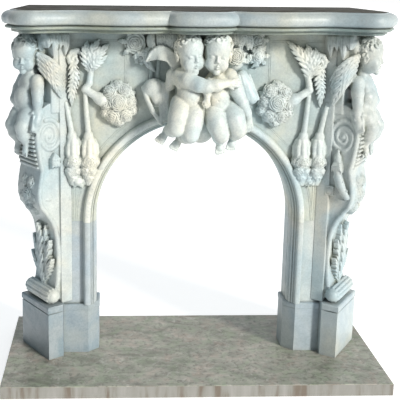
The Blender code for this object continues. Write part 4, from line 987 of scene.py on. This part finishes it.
def frieze_piece(side):
    """The relief on one side of the arch, drawn for the right-hand side."""
    clay = Clay((0.1, -0.006, 0.664), (0.4745, 0.064, SHELF_Z), FRIEZE_CELL)
    # Spray of acanthus under the shelf with a curl at its outer side
    if side > 0:
        base, curl = (0.386, 1.068), (0.424, 1.128)
        fans = ((0.312, 1.203, 0.014), (0.346, 1.188, 0.016), (0.378, 1.192, 0.017), (0.408, 1.18, 0.017))
    else:
        base, curl = (0.372, 1.09), (0.428, 1.138)
        fans = ((0.318, 1.15, 0.012), (0.312, 1.19, 0.014), (0.345, 1.205, 0.016), (0.385, 1.198, 0.017))
    for k, (x, z, out) in enumerate(fans):
        middle = (base[0] + (x - base[0]) * 0.45 + 0.012, 0.02, base[1] + (z - base[1]) * 0.55)
        leaf(clay, [(base[0] + 0.004, 0.004, base[1]), middle, (x, out * 0.6, z)],
            (0.008, 0.021, 0.022, 0.004), (0.008, 0.014, 0.012, 0.004), 7, 7, notch=0.45, lean=1.2)
    arc = [around(curl, r, q, 0.01 + 0.01 * (1 - r / 0.034))
        for r, q in zip(np.linspace(0.034, 0.006, 9), np.linspace(2.6, -3.4, 9))]
    path(clay, [(*p, 0.0105 - 0.0006 * i) for i, p in enumerate(arc)], 0.002)
    for q in (0.2, 0.9, 1.6):
        leaf(clay, [around(curl, 0.01, q, 0.012), around(curl, 0.036, q, 0.01)], (0.01, 0.004),
            (0.01, 0.004), 0, 3)
    # Leaf hanging from the curl
    hang = [(curl[0] + 0.01, 0.01, curl[1] - 0.01), (curl[0] + 0.002, 0.016, 1.075),
        (curl[0] + 0.01, 0.014, 1.03), (curl[0] + 0.012, 0.008, 0.975)]
    leaf(clay, hang, (0.014, 0.023, 0.022, 0.018, 0.004), (0.01, 0.014, 0.013, 0.01, 0.004), 9, 9,
        notch=0.5, lean=1.3)
    # Stem from the spray to an elbow, then a horn with a collar that holds the bouquet
    path(clay, [(base[0], 0.008, base[1] + 0.02, 0.011), (base[0] + 0.006, 0.014, 1.055, 0.0115),
        (0.394, 0.015, 1.034, 0.013), (0.35, 0.018, 1.006, 0.0155)], 0.004)
    for k, r in ((0.0, 0.02), (0.008, 0.0225), (0.016, 0.02)):
        clay.add(limb((0.348 - k, 0.014, 1.004 - 0.6 * k), (0.345 - k, 0.014, 1.002 - 0.6 * k), r, r), 0.0015)
    # Bouquet
    middle = (0.276, 0.984)
    clay.add(ball((middle[0], -0.002, middle[1]), (0.06, 0.034, 0.074)), 0.004)
    spots = ((0.002, 0.006, 0.03, 0.03), (0.03, 0.04, 0.025, 0.02), (-0.022, 0.048, 0.024, 0.02),
        (-0.04, 0.006, 0.0235, 0.018), (0.043, -0.004, 0.0225, 0.018), (0.022, -0.044, 0.025, 0.02),
        (-0.024, -0.042, 0.0245, 0.019), (0.004, 0.062, 0.02, 0.012), (-0.05, -0.024, 0.019, 0.012),
        (0.048, -0.034, 0.018, 0.012), (-0.002, -0.066, 0.019, 0.012))
    for k, (x, z, radius, out) in enumerate(spots):
        clay.add(flower((middle[0] + x, out, middle[1] + z), (x * 9, 1, z * 8), radius, 0.016, "rose",
            k * 1.3, 0.02), 0.0012)
    for k in range(13):
        turn = 2 * math.pi * k / 13 + 0.2
        cx, cz = math.cos(turn), math.sin(turn)
        points = [(middle[0] + 0.04 * cx, 0.012, middle[1] + 0.052 * cz),
            (middle[0] + 0.056 * cx, 0.011, middle[1] + 0.071 * cz),
            (middle[0] + (0.065 + 0.003 * (k % 2)) * cx, 0.004, middle[1] + 0.082 * cz)]
        leaf(clay, points, (0.009, 0.0125, 0.003), (0.009, 0.01, 0.003), 4, 5, deep=0.02)
    # Two hanging stems, each with a collar, a sheath of sepals and a cluster of flowers
    drops = (((0.394, 1.03), (0.389, 0.95), (0.382, 0.872), 0.38, 0.034),
        ((0.462, 0.985), (0.45, 0.93), (0.44, 0.872), 0.436, 0.031))
    for number, (top, bend, foot_at, x, wide) in enumerate(drops):
        run = catmull([(top[0], 0.01, top[1]), (bend[0], 0.013, bend[1]), (foot_at[0], 0.013, foot_at[1])], 3)
        path(clay, [(*p, 0.0085 + 0.0018 * i / 6) for i, p in enumerate(run)], 0.003)
        for k, r in ((0.0, 0.0135), (0.008, 0.015), (0.016, 0.0135)):
            clay.add(limb((foot_at[0] - 0.003, 0.012, foot_at[1] - k),
                (foot_at[0] + 0.003, 0.012, foot_at[1] - k), r, r), 0.0012)
        low, tall, out = 0.782, 0.09, 0.036
        clay.add(ball((x, 0.0, low), (wide * 0.94, out * 1.05, tall * 0.96)), 0.0015)

        def on_egg(phi, theta, grow=1.0):
            return (x + grow * wide * math.sin(theta) * math.sin(phi),
                grow * out * math.sin(theta) * math.cos(phi), low + grow * tall * math.cos(theta))

        # Pointed sepals over the upper half, a cluster of roses and leaf tips below
        for k in range(5):
            phi = (k - 2) * 0.62
            rib = [(*on_egg(phi, theta, 0.93), r)
                for theta, r in ((0.25, 0.006), (0.6, 0.0095), (0.95, 0.011), (1.25, 0.0085), (1.5, 0.003))]
            path(clay, rib, 0.0022)
        for j, (phi, theta, radius) in enumerate(((0.0, 1.66, 0.66), (-1.0, 1.66, 0.54), (1.0, 1.7, 0.54),
                (-0.52, 2.16, 0.6), (0.58, 2.14, 0.6), (0.0, 2.6, 0.54))):
            spot = on_egg(phi, theta, 0.86)
            clay.add(flower(spot, (spot[0] - x, max(spot[1], 0.012), 0.4 * (spot[2] - low)), radius * wide,
                0.013, "rose", j * 1.1 + number, 0.02), 0.001)
        for k in range(7):
            phi = (k - 3) * 0.42
            leaf(clay, [on_egg(phi, 2.2, 0.92), on_egg(phi, 2.75, 1.12)], (0.009, 0.003), (0.008, 0.003), 3,
                4)
    if side > 0:
        clay.add(flower((0.426, 0.014, 0.714), (0.1, 1, -0.1), 0.0265, 0.012, "daisy", 0.1, 0.02), 0.001)
        clay.add(flower((0.384, 0.02, 0.744), (-0.1, 1, 0), 0.022, 0.014, "rose", 0.7, 0.02), 0.001)
    else:
        clay.add(ball((0.42, 0.014, 0.706), (0.018, 0.017, 0.018)), 0.001)
        for k in range(6):
            turn = 2 * math.pi * k / 6
            bud = (0.42, 0.706)
            leaf(clay, [around(bud, 0.014, turn, 0.014), around(bud, 0.03, turn, 0.008)], (0.009, 0.004),
                (0.009, 0.004), 0, 3)
    for k in range(5):
        leaf(clay, [(0.402 + 0.005 * k, 0.012, 0.706), (0.39 + 0.01 * k, 0.006, 0.68 + 0.003 * abs(k - 2))],
            (0.008, 0.003), (0.01, 0.003), 0, 4)
    # Roses and leaves beside the crowning group
    if side > 0:
        near = ((0.206, 1.206, 0.026), (0.208, 1.15, 0.026))
    else:
        near = ((0.22, 1.196, 0.037), (0.2, 1.146, 0.018))
    for x, z, radius in near:
        clay.add(flower((x, 0.01, z), (0.15, 1, 0), radius, 0.016, "rose", x * 40, 0.02), 0.0012)
        for turn in (-2.6, -1.7, -0.8, 0.1, 1.0, 2.2):
            points = [around((x, z), radius * share, turn, out)
                for share, out in ((0.7, 0.008), (1.2, 0.012), (1.6, 0.003))]
            leaf(clay, points, (0.008, 0.011, 0.003), (0.008, 0.01, 0.003), 4, 5)
    for k in range(4 if side < 0 else 3):
        x, z = (0.172 - 0.004 * k, 1.14 - 0.01 * k) if side < 0 else (0.196, 1.166 - 0.02 * k)
        leaf(clay, [(x + 0.03, 0.01, z + 0.03), (x + 0.012, 0.016, z + 0.008), (x - 0.01, 0.01, z - 0.014)],
            (0.007, 0.01, 0.003), (0.009, 0.011, 0.004), 0, 5)
    return fired(clay, "relief", on_front(side), MOST_TRIANGLES // 2 - PLAIN_FRONT_TRIANGLES,
        lambda c: c[:, 1] > -0.0015)


def wall_and_arch():
    """The flat front with the arch cut out, its soffit, and the moulding around it."""
    steps = 64
    angles = [math.pi * k / steps for k in range(steps + 1)]
    reach = OPENING_HALF + 0.97 * ARCHIVOLT_WIDE
    half, top = FRIEZE_HALF - GAP, SHELF_Z - GAP
    # Points around the arch, joined outward to the frieze's edge
    inner = [(reach, JOINT_Z + GAP)] + [(reach * math.cos(a), SPRING_Z + reach * math.sin(a)) for a in angles]
    inner += [(-reach, JOINT_Z + GAP)]
    outer = []
    for x, z in inner:
        if z <= SPRING_Z + 1e-6:
            outer.append((math.copysign(half, x), z))
            continue
        run = max(abs(x) / half, (z - SPRING_Z) / (top - SPRING_Z))
        outer.append((x / run, SPRING_Z + (z - SPRING_Z) / run))
    faces = [[(x, FACE_Y, z) for x, z in inner], [(x, FACE_Y, z) for x, z in outer],
        [(x, BACK_Y, z) for x, z in outer], [(x, BACK_Y, z) for x, z in inner]]
    wall = lofted("wall", faces, closed=False, caps=False, angle=30)
    profile = archivolt_profile() + [(ARCHIVOLT_WIDE, -FRONT_THICK), (0.0, -FRONT_THICK)]
    stations = [((1.0, 0.0), JOINT_Z + GAP)] + [((math.cos(a), math.sin(a)), SPRING_Z) for a in angles]
    stations += [((-1.0, 0.0), JOINT_Z + GAP)]
    rings = [[((OPENING_HALF + away) * c, FACE_Y - out, base + (OPENING_HALF + away) * s)
        for away, out in profile] for (c, s), base in stations]
    return [wall, lofted("archivolt", rings, angle=28)]


def incised(side):
    """Fine border lines on the frieze, as thin ridges that stand just proud of it."""
    radius = OPENING_HALF + ARCHIVOLT_WIDE
    strips = []
    for away, x_in, drop in ((0.02, 0.25, 0.03), (0.026, 0.256, 0.036)):
        ring = radius + away
        start = math.acos(min(1.0, x_in / ring))
        line = [(FRIEZE_HALF - 0.022 - away + 0.02, JOINT_Z + 0.012),
            (FRIEZE_HALF - 0.022 - away + 0.02, SHELF_Z - drop), (x_in, SHELF_Z - drop)]
        line += [(ring * math.cos(start * (1 - k / 30)), SPRING_Z + ring * math.sin(start * (1 - k / 30)))
            for k in range(31)]
        line += [(ring, JOINT_Z + 0.012)]
        strips.append(line)
    # Sawn lines on the spandrel's foot
    for x in (0.428, 0.436, 0.441, 0.447, 0.456, 0.462):
        strips.append([(x, JOINT_Z + 0.002), (x + 0.001, 0.69)])
    made = []
    for line in strips:
        rings = []
        for i, (x, z) in enumerate(line):
            ahead = Vector(line[min(i + 1, len(line) - 1)]) - Vector(line[max(i - 1, 0)])
            square = Vector((-ahead.y, ahead.x)).normalized() * LINE_HALF
            rings.append([(side * (x + turn * square.x), FACE_Y - rise, z + turn * square.y)
                for turn, rise in ((1, LINE_EDGE), (0, LINE_OUT), (-1, LINE_EDGE))])
        made.append(lofted("line", rings, closed=False, caps=False))
    return made


def build_front():
    pieces = [frieze_piece(1), frieze_piece(-1), *wall_and_arch(), *incised(1), *incised(-1)]
    return finished(joined("arch_front_carved", pieces), RAISED_PAINTED_LIGHT, "carved_marble", "arch_front")


def build_jambs():
    for side, hand in ((1, "right"), (-1, "left")):
        plan = [(OPENING_HALF, BACK_Y)] + [(OPENING_HALF + away, FACE_Y - out)
            for away, out in archivolt_profile()]
        plan += [(FRIEZE_HALF - GAP, FACE_Y), (FRIEZE_HALF - GAP, BACK_Y)]
        heights = (JAMB_BASE_Z + GAP, JAMB_BASE_Z + 0.002, JOINT_Z - 0.002, JOINT_Z - GAP)
        rings = [[(side * x, y, z) for x, y in plan] for z in heights]
        # The left jamb takes the darker copy: painted shade
        stone = JAMB_RIGHT if side > 0 else JAMB_LEFT_PAINTED_SHADE
        finished(lofted("jamb_" + hand + "_moulded", rings, angle=28), stone, "marble", "jamb_" + hand)


# Consoles


def cons(s, t, z):
    """Place in a console's own axes, from the drawn places out, along the face and up."""
    return vec(t * CONSOLE_WIDE / DRAWN_WIDE - CONSOLE_INBOARD, s, z)


def console_path(clay, points, soft=0.005):
    path(clay, [(*cons(s, t, z), radius) for s, t, z, radius in points], soft)


def scroll_outline():
    """Side view of the scroll, from its foot up: out from the frieze corner, and height."""
    lower = catmull([(0.012, 0.2478), (0.028, 0.262), (0.042, 0.3), (0.036, 0.35), (0.034, 0.44),
        (0.042, 0.52), (0.064, 0.572), (0.1, 0.62), (0.108, 0.665), (0.102, 0.715), (0.094, 0.752)], 5)
    middle = catmull([(0.098, 0.762), (0.108, 0.82), (0.115, 0.88), (0.113, 0.912)], 4)
    upper = catmull([(0.11, 0.928), (0.092, 0.962), (0.06, 0.985), (0.012, 0.99)], 4)
    return lower + middle + upper + [(-0.01, 0.99), (-0.01, 0.2478)]


def build_console(side, hand_name):
    wide = CONSOLE_WIDE
    left, right = -CONSOLE_INBOARD, wide - CONSOLE_INBOARD
    clay = Clay((left - 0.046, -0.062, PIER_BASE_Z - 0.002), (right + 0.046, 0.182, SHELF_Z + 0.002),
        CONSOLE_CELL)

    def leaf_on(points, width, high, lobes, ribs, **more):
        leaf(clay, [cons(*p) for p in catmull(points, 3)], width, high, lobes, ribs, 0.0015, 1, **more)

    # Pier, cap block and scroll
    clay.add(slab((left + 0.001, -0.07, PIER_BASE_Z - 0.02), (right - 0.001, PIER_OUT, SHELF_Z + 0.02),
        0.002), 0.001)
    clay.add(slab((left + 0.005, -0.01, 0.95), (right - 0.005, 0.052, SHELF_Z + 0.02), 0.006), 0.004)
    clay.add(prism(scroll_outline(), left + 0.011, right - 0.011, 0.004), 0.003)
    # Ribs across the scroll's front, under the infant
    for k in range(10):
        z = 0.762 + 0.0155 * k
        s = 0.099 + 0.018 * math.sin(math.pi * 0.62 * k / 9)
        clay.add(limb((left + 0.022, s, z), (right - 0.022, s, z), 0.0058, 0.0058), 0.0015)
    # Raised band along both edges of the scroll, coiling into the volute
    edge = [(s - 0.008, z) for s, z in scroll_outline()[:-2] if 0.3 < z < 0.975]
    edge = edge[::3]
    for t in (0.012, DRAWN_WIDE - 0.012):
        console_path(clay, [(s, t, z, 0.0085) for s, z in edge], 0.0025)
        spiral = []
        for q in np.linspace(0, 1, 46):
            turn = math.radians(70 + 760 * q)
            reach = 0.047 * (1 - q) ** 0.8 + 0.004
            spiral.append((0.058 + 0.92 * reach * math.cos(turn), t, 0.872 + 1.18 * reach * math.sin(turn),
                0.0088 - 0.0036 * q))
        console_path(clay, spiral, 0.0018)
        clay.add(ball(cons(0.058, t, 0.872), (0.008, 0.009, 0.01)), 0.002)
    # Fluted roll at the foot, with a coil on each end
    roll = (0.054, 0.2785)
    clay.add(limb((left + 0.012, *roll), (right - 0.012, *roll), 0.0265, 0.0265), 0.003)
    for k in range(12):
        turn = 2 * math.pi * k / 12
        s, z = roll[0] + 0.0255 * math.cos(turn), roll[1] + 0.0255 * math.sin(turn)
        clay.add(limb((left + 0.01, s, z), (right - 0.01, s, z), 0.005, 0.005), 0.0015)
    for t in (0.003, DRAWN_WIDE - 0.003):
        console_path(clay, [(*around(roll, r, q, t), 0.004)
            for r, q in zip(np.linspace(0.024, 0.004, 22), np.linspace(0, 10, 22))], 0.0015)
    # Standing acanthus above the roll: a broad leaf with three pairs of side leaves and a tip that bends out
    for turn in (-1, 1):
        for z0, spread, rise, wide_leaf in ((0.315, 0.062, 0.1, 0.017), (0.325, 0.05, 0.158, 0.018),
                (0.34, 0.026, 0.195, 0.018)):
            leaf_on([(0.038, MIDDLE + turn * 0.006, z0), (0.046, MIDDLE + turn * spread * 0.55,
                z0 + rise * 0.55), (0.054, MIDDLE + turn * spread, z0 + rise)], (0.01, wide_leaf, 0.005),
                (0.01, 0.013, 0.006), 6, 6, notch=0.5, lean=1.2)
    leaf_on([(0.042, MIDDLE, 0.31), (0.052, MIDDLE, 0.4), (0.056, MIDDLE, 0.49), (0.07, MIDDLE, 0.54)],
        (0.016, 0.024, 0.022, 0.006), (0.012, 0.015, 0.013, 0.008), 8, 8, notch=0.45, lean=1.2)
    # Roses and leaves on the bulge
    for s, t, z, radius in ((0.106, MIDDLE, 0.652, 0.031), (0.098, 0.034, 0.646, 0.026),
            (0.098, 0.116, 0.646, 0.026), (0.104, 0.054, 0.702, 0.023), (0.104, 0.098, 0.702, 0.023),
            (0.09, 0.06, 0.606, 0.02), (0.09, 0.094, 0.606, 0.02)):
        clay.add(flower(cons(s - 0.002, t, z), (7 * (t - MIDDLE), 1, (z - 0.66) * 5), radius, 0.015, "rose",
            t * 50, 0.03), 0.0012)
    for turn in range(0, 360, 36):
        angle = math.radians(turn + 10)
        a, b = math.cos(angle), math.sin(angle)
        leaf_on([(0.094, MIDDLE + 0.036 * a, 0.656 + 0.036 * b),
            (0.098 - 0.012 * abs(a), MIDDLE + 0.058 * a, 0.656 + 0.058 * b),
            (0.088 - 0.016 * abs(a), MIDDLE + 0.066 * a, 0.656 + 0.078 * b)], (0.01, 0.014, 0.004),
            (0.01, 0.011, 0.004), 4, 5, deep=0.02)
    # Under each volute: a collared garland that swings to the roses, or a short drop of leaves
    for turn in (-1, 1):
        edge_t = MIDDLE + turn * MIDDLE
        if side > 0:
            console_path(clay, [(0.046, edge_t, 0.822, 0.005), (0.046, edge_t, 0.806, 0.0075),
                (0.046, edge_t, 0.8, 0.012), (0.046, edge_t, 0.79, 0.0125), (0.046, edge_t, 0.784, 0.0085)],
                0.0012)
            for k in range(5):
                lean = (k - 2) * 0.0055
                leaf_on([(0.046 + lean * 0.5, edge_t, 0.786), (0.046 + lean, edge_t + turn * 0.007, 0.768),
                    (0.047 + lean * 1.6, edge_t + turn * 0.004, 0.746)], (0.004, 0.006, 0.002),
                    (0.006, 0.011, 0.008), 0, 3, normal=(turn, 0, 0), deep=0.02)
            run = catmull([(0.047, edge_t, 0.76), (0.052, edge_t + turn * 0.002, 0.728),
                (0.066, edge_t, 0.69), (0.084, MIDDLE + turn * 0.07, 0.655)], 5)
            console_path(clay, [(*p, 0.0105 + 0.0045 * math.sin(math.pi * i / 15))
                for i, p in enumerate(run)], 0.002)
            for q in (4, 8, 12):
                s0, t0, z0 = run[q]
                console_path(clay, [(s0 - 0.012, t0 + turn * 0.004, z0 - 0.007, 0.0045),
                    (s0 + 0.012, t0 + turn * 0.004, z0 + 0.007, 0.0045)], 0.0015)
        else:
            for k in range(2):
                z0 = 0.806 - 0.018 * k
                for lean in (-1, 0, 1):
                    leaf_on([(0.044, edge_t, z0), (0.044 + lean * 0.01, edge_t + turn * 0.006, z0 - 0.016),
                        (0.044 + lean * 0.014, edge_t + turn * 0.002, z0 - 0.03)], (0.005, 0.008, 0.002),
                        (0.006, 0.009, 0.004), 0, 3, normal=(turn, 0, 0), deep=0.02)
        # Small square rosette on the right-hand block's side, under the garland
        if side > 0:
            tile = cons(0.022, MIDDLE + turn * 0.07, 0.6725)
            clay.add(slab(tuple(tile - vec(0.007, 0.015, 0.018)), tuple(tile + vec(0.007, 0.015, 0.018)),
                0.001), 0.001)
            clay.cut(slab(tuple(tile + vec(turn * 0.012 - 0.007, -0.012, -0.015)),
                tuple(tile + vec(turn * 0.012 + 0.007, 0.012, 0.015)), 0.001), 0.0008)
            clay.add(flower(tile + vec(turn * 0.005, 0, 0), (turn, 0, 0), 0.011, 0.005, "daisy", 0.2, 0.01),
                0.0008)
    # Leaf capital: pointed leaves that hang from under the shelf, long and short in turn
    falls = (0.05, 0.078, 0.056, 0.086, 0.06, 0.072)
    for k in range(6):
        t = 0.004 + 0.0284 * k
        fall = falls[k]
        leaf_on([(0.048, t, 1.234), (0.066, t, 1.222), (0.076, t, 1.23 - 0.55 * fall),
            (0.07, t, 1.232 - fall)], (0.014, 0.0165, 0.015, 0.003), (0.008, 0.011, 0.011, 0.006), 0, 0,
            cup=0.75, deep=0.04, vein=0.45)
    for turn in (-1, 1):
        for k in range(4):
            t, s0, fall = MIDDLE + turn * 0.072, -0.002 + 0.0225 * k, falls[(k + 1) % 4]
            leaf_on([(s0, t, 1.234), (s0 + 0.001, t + turn * 0.01, 1.222),
                (s0 + 0.002, t + turn * 0.014, 1.23 - 0.55 * fall),
                (s0 + 0.003, t + turn * 0.008, 1.232 - fall)], (0.0115, 0.014, 0.0125, 0.003),
                (0.008, 0.011, 0.011, 0.006), 0, 0, normal=(turn, 0, 0), cup=0.75, deep=0.03, vein=0.45)
    # Wings behind the shoulders, swept down and back along the block's sides
    for turn in (-1, 1):
        rise = 0.078 if side < 0 else 0.083
        for k in range(4 if side < 0 else 5):
            root = (0.086 - 0.003 * k, MIDDLE + turn * 0.046, 1.156 - 0.016 * k)
            middle = (0.05 - 0.002 * k, MIDDLE + turn * rise, 1.124 - 0.021 * k)
            tip = (0.006 + 0.003 * k, MIDDLE + turn * (rise - 0.002), 1.07 - 0.021 * k)
            leaf_on([root, middle, tip], (0.009, 0.0145, 0.014, 0.005), (0.008, 0.01, 0.009, 0.005), 0, 6,
                normal=(turn, 0.35, 0), deep=0.03, lean=1.6, vein=0.3)
    console_infant(clay, side)
    clay.cut(slab((left - 0.1, -0.1, SHELF_Z - GAP), (right + 0.1, 0.3, SHELF_Z + 0.1), 0), 0.0005)

    def world(p):
        there = CORNER + p[:, 1:2] * OUTWARD + p[:, 0:1] * ALONG + p[:, 2:3] * UP
        there[:, 0] *= side
        return there

    def keep(c):
        there = world(c)
        inner = (np.abs(there[:, 0]) < FRIEZE_HALF + GAP) & (there[:, 1] > FACE_Y - 0.001)
        return ~inner & (c[:, 1] > -0.056)

    obj = fired(clay, "console_" + hand_name + "_carved", world, MOST_TRIANGLES, keep)
    return finished(obj, CARVED, "carved_marble", "console_" + hand_name)


def console_infant(clay, side):
    """An infant seated on the scroll: hands on it, knees over its front, cloth across the hips."""
    if side > 0:
        facing, tilt, seed = (0.26, 1, -0.14), 0.05, 8
    else:
        facing, tilt, seed = (-0.72, 0.78, -0.28), 0.08, 11
    head(clay, cons(0.106, 0.074, 1.158), facing, tilt, seed, 1.02, CONSOLE_HEAD_TALL)
    infant_torso(clay, cons(0.088, 0.076, 1.108), cons(0.086, 0.077, 1.056), cons(0.104, 0.078, 1.004),
        cons(0.094, 0.078, 0.97), 0.96)
    for turn in (-1, 1):
        clay.add(ball(cons(0.11, 0.077 + turn * 0.017, 1.05), (0.018, 0.012, 0.015)), 0.01)
    clay.cut(ball(cons(0.148, 0.078, 1.0), (0.003, 0.004, 0.0025)), 0.003)
    console_path(clay, ((0.088, 0.116, 1.064, 0.024), (0.104, 0.124, 1.03, 0.022),
        (0.122, 0.118, 0.994, 0.0195), (0.122, 0.086, 0.972, 0.0175), (0.112, 0.052, 0.962, 0.0135)))
    hand(clay, cons(0.112, 0.052, 0.961), (-1, 0.05, -0.1), (0, 1, 0.4), 0.95)
    console_path(clay, ((0.086, 0.036, 1.064, 0.024), (0.096, 0.02, 1.028, 0.0215),
        (0.1, 0.014, 0.996, 0.0185), (0.1, 0.016, 0.96, 0.014)))
    hand(clay, cons(0.1, 0.016, 0.958), (-0.2, 0.2, -1), (-0.5, 1, 0), 0.95)
    for hip, knee, ankle in (
        ((0.098, 0.056, 0.965), (0.14, 0.048, 0.906), (0.12, 0.054, 0.846)),
        ((0.098, 0.102, 0.965), (0.14, 0.11, 0.906), (0.12, 0.106, 0.846)),
    ):
        console_path(clay, ((*hip, 0.033), (*between(hip, knee), 0.032), (*knee, 0.027)), 0.008)
        console_path(clay, ((*knee, 0.026), (0.134, (knee[1] + ankle[1]) / 2, 0.878, 0.0235),
            (*ankle, 0.0145)), 0.006)
        foot(clay, cons(*ankle), vec(0.0, 0.25, -1), vec(0.0, 1, 0.25), 0.95)
    # Cloth over the lap, with a rolled end that hangs at the inner side
    for k in range(4):
        run = [(0.118 + 0.012 * math.sin(math.pi * q) - 0.003 * k, 0.018 + 0.12 * q,
            0.956 - 0.01 * k - 0.016 * math.sin(math.pi * q + 0.4 * k), 0.0078)
            for q in np.linspace(0, 1, 7)]
        console_path(clay, run, 0.003)
    for turn in (-1, 1):
        console_path(clay, ((0.096, MIDDLE + turn * 0.058, 0.958, 0.018),
            (0.108, MIDDLE + turn * 0.062, 0.925, 0.019), (0.112, MIDDLE + turn * 0.058, 0.9, 0.0165)),
            0.004)
        for k in range(4):
            shift = (k - 1.5) * 0.008
            console_path(clay, ((0.108 + shift, MIDDLE + turn * 0.066, 0.95, 0.004),
                (0.116 + shift, MIDDLE + turn * 0.07, 0.902, 0.0055)), 0.002)
        clay.cut(ball(cons(0.118, MIDDLE + turn * 0.06, 0.884), (0.009, 0.01, 0.01)), 0.003)


# Shelf


def shelf_outline():
    """Plan of the shelf: a bowed centre between cusps, waved wings, bulged corners."""
    wide = SHELF_HALF / 0.69
    deep = SHELF_OUT / 0.52
    centre = catmull([(0.0, 0.0), (0.055, 0.006), (0.098, 0.026), (0.119, 0.052)], 8)
    wing = catmull([(0.119, 0.052), (0.15, 0.038), (0.205, 0.026), (0.28, 0.022), (0.36, 0.04),
        (0.43, 0.054), (0.5, 0.034), (0.57, 0.006), (0.625, 0.026), (0.655, 0.062)], 6)
    corner = catmull([(0.655, 0.062), (0.668, 0.095), (0.69, 0.14), (0.688, 0.18)], 4)
    half = centre[:-1] + wing[:-1] + corner
    front = [(x * wide, WALL_Y - SHELF_OUT + back * deep) for x, back in half]
    right = front[1:] + [(0.665 * wide, WALL_Y)]
    left = [(-x, y) for x, y in reversed(right)]
    return left + [front[0]] + right


def build_shelf():
    outline = shelf_outline()
    thick = SHELF_TOP_Z - SHELF_Z
    edge = [(0.047, 0.0), (0.034, 0.02), (0.032, 0.05), (0.032, 0.15), (0.03, 0.168), (0.016, 0.18),
        (0.012, 0.205), (0.0105, 0.24), (0.012, 0.29), (0.016, 0.32), (0.022, 0.33), (0.022, 0.372),
        (0.01, 0.38), (0.0045, 0.43), (0.0015, 0.5), (0.0003, 0.58), (0.0003, 0.68), (0.003, 0.78),
        (0.0085, 0.86), (0.016, 0.92), (0.023, 0.95), (0.029, 0.96), (0.03, 0.985), (0.0325, 1.0)]
    rings = []
    for away, share in edge:
        ring = inset(outline, away)
        ring = [(x, WALL_Y if abs(y0 - WALL_Y) < 1e-6 else y) for (x, y), (_, y0) in zip(ring, outline)]
        rings.append([(x, y, SHELF_Z + share * thick) for x, y in ring])
    obj = lofted("mantel_shelf_moulded", rings, angle=32)
    finished(obj, STAINED, "marble", "mantel_shelf")
    obj.data.materials.append(TOP)
    for face in obj.data.polygons:
        if face.normal.z > 0.9 and face.center.z > SHELF_TOP_Z - 0.0005:
            face.material_index = 1
    return obj


# Blocks that keep their solids


def dress_solids():
    # The left-hand plinths take the darker copies of the stone: painted shade
    for name, material in (("hearth_slab", HEARTH), ("jamb_plinth_left", PLINTH_LEFT_PAINTED_SHADE), ("jamb_plinth_right", COOL),
            ("console_plinth_left", CORNER_PAINTED_SHADE), ("console_plinth_right", PLAIN), ("side_return_left", PLAIN),
            ("side_return_right", PLAIN)):
        solid = frame["nodes"][name]
        for k in range(len(solid.material_slots)):
            solid.material_slots[k].material = material


# Camera, light and floor


def build_camera():
    data = bpy.data.cameras.new("camera")
    data.lens = LENS
    data.sensor_width = SENSOR
    data.shift_x, data.shift_y = SHIFT
    camera = placed("camera", data)
    ahead = Vector((math.sin(YAW) * math.cos(PITCH), math.cos(YAW) * math.cos(PITCH), -math.sin(PITCH)))
    right = ahead.cross(Vector((0, 0, 1))).normalized()
    up = right.cross(ahead)
    turned = right * math.cos(ROLL) + up * math.sin(ROLL)
    up = up * math.cos(ROLL) - right * math.sin(ROLL)
    rows = [(turned[k], up[k], -ahead[k], CAMERA_AT[k]) for k in range(3)]
    camera.matrix_world = Matrix((*rows, (0, 0, 0, 1)))
    bpy.context.scene.camera = camera


def build_sky():
    world = bpy.data.worlds.new("studio")
    bpy.context.scene.world = world
    paint = Paint(world, "Background", "Generated")
    place = paint.parts(paint.place)
    sides = paint.ramp(paint.rise(place["X"], -1.0, 1.0), (0.0, SKY_LEFT), (1.0, SKY_RIGHT))
    wall = paint.ramp(place["Y"], (WHITE_WALL[0], 0.0), (WHITE_WALL[1], 1.0))
    paint.coat(Color=paint.mix(wall, sides, (1.0, 1.0, 1.0)), Strength=1.0)


def build_sun():
    sun = bpy.data.lights.new("key", "SUN")
    sun.energy = SUN_POWER
    sun.angle = SUN_SPREAD
    sun.color = SUN_COLOR
    placed("key", sun).rotation_euler = Vector(SUN_FROM).to_track_quat("Z", "Y").to_euler()


def build_floor():
    bm = bmesh.new()
    bmesh.ops.create_grid(bm, x_segments=1, y_segments=1, size=FLOOR_HALF)
    mesh = bpy.data.meshes.new("floor")
    bm.to_mesh(mesh)
    bm.free()
    floor = placed("floor", mesh)
    paint = Paint(bpy.data.materials.new("floor_white_glowing"))
    # A glow behind and beside the hearth only, so that the ground in front throws up little light; the glow
    # whitens the floor there and washes out the shadows cast on it
    place = paint.parts(paint.place)
    beside = paint.sum(paint.rise(place["X"], *GLOW_X), paint.rise(place["Y"], *GLOW_Y), "MULTIPLY")
    glow = paint.sum(beside, paint.rise(place["Y"], *GLOW_BEHIND_Y), "MAXIMUM")
    pale = paint.ramp(paint.noise(0.8, 3.0), (0.4, 0.78), (0.6, 0.82))
    paint.coat(Base_Color=pale, Roughness=0.9, Emission_Color=(1, 1, 1),
        Emission_Strength=paint.sum(glow, FLOOR_GLOW, "MULTIPLY"))
    mesh.materials.append(paint.made)
    floor.location.z = -FLOOR_DROP


bpy.context.scene.view_settings.view_transform = "Standard"
build_camera()
build_sky()
build_sun()
build_floor()
dress_solids()
build_shelf()
build_jambs()
build_front()
build_group()
for turned, named in ((1, "right"), (-1, "left")):
    build_console(turned, named)
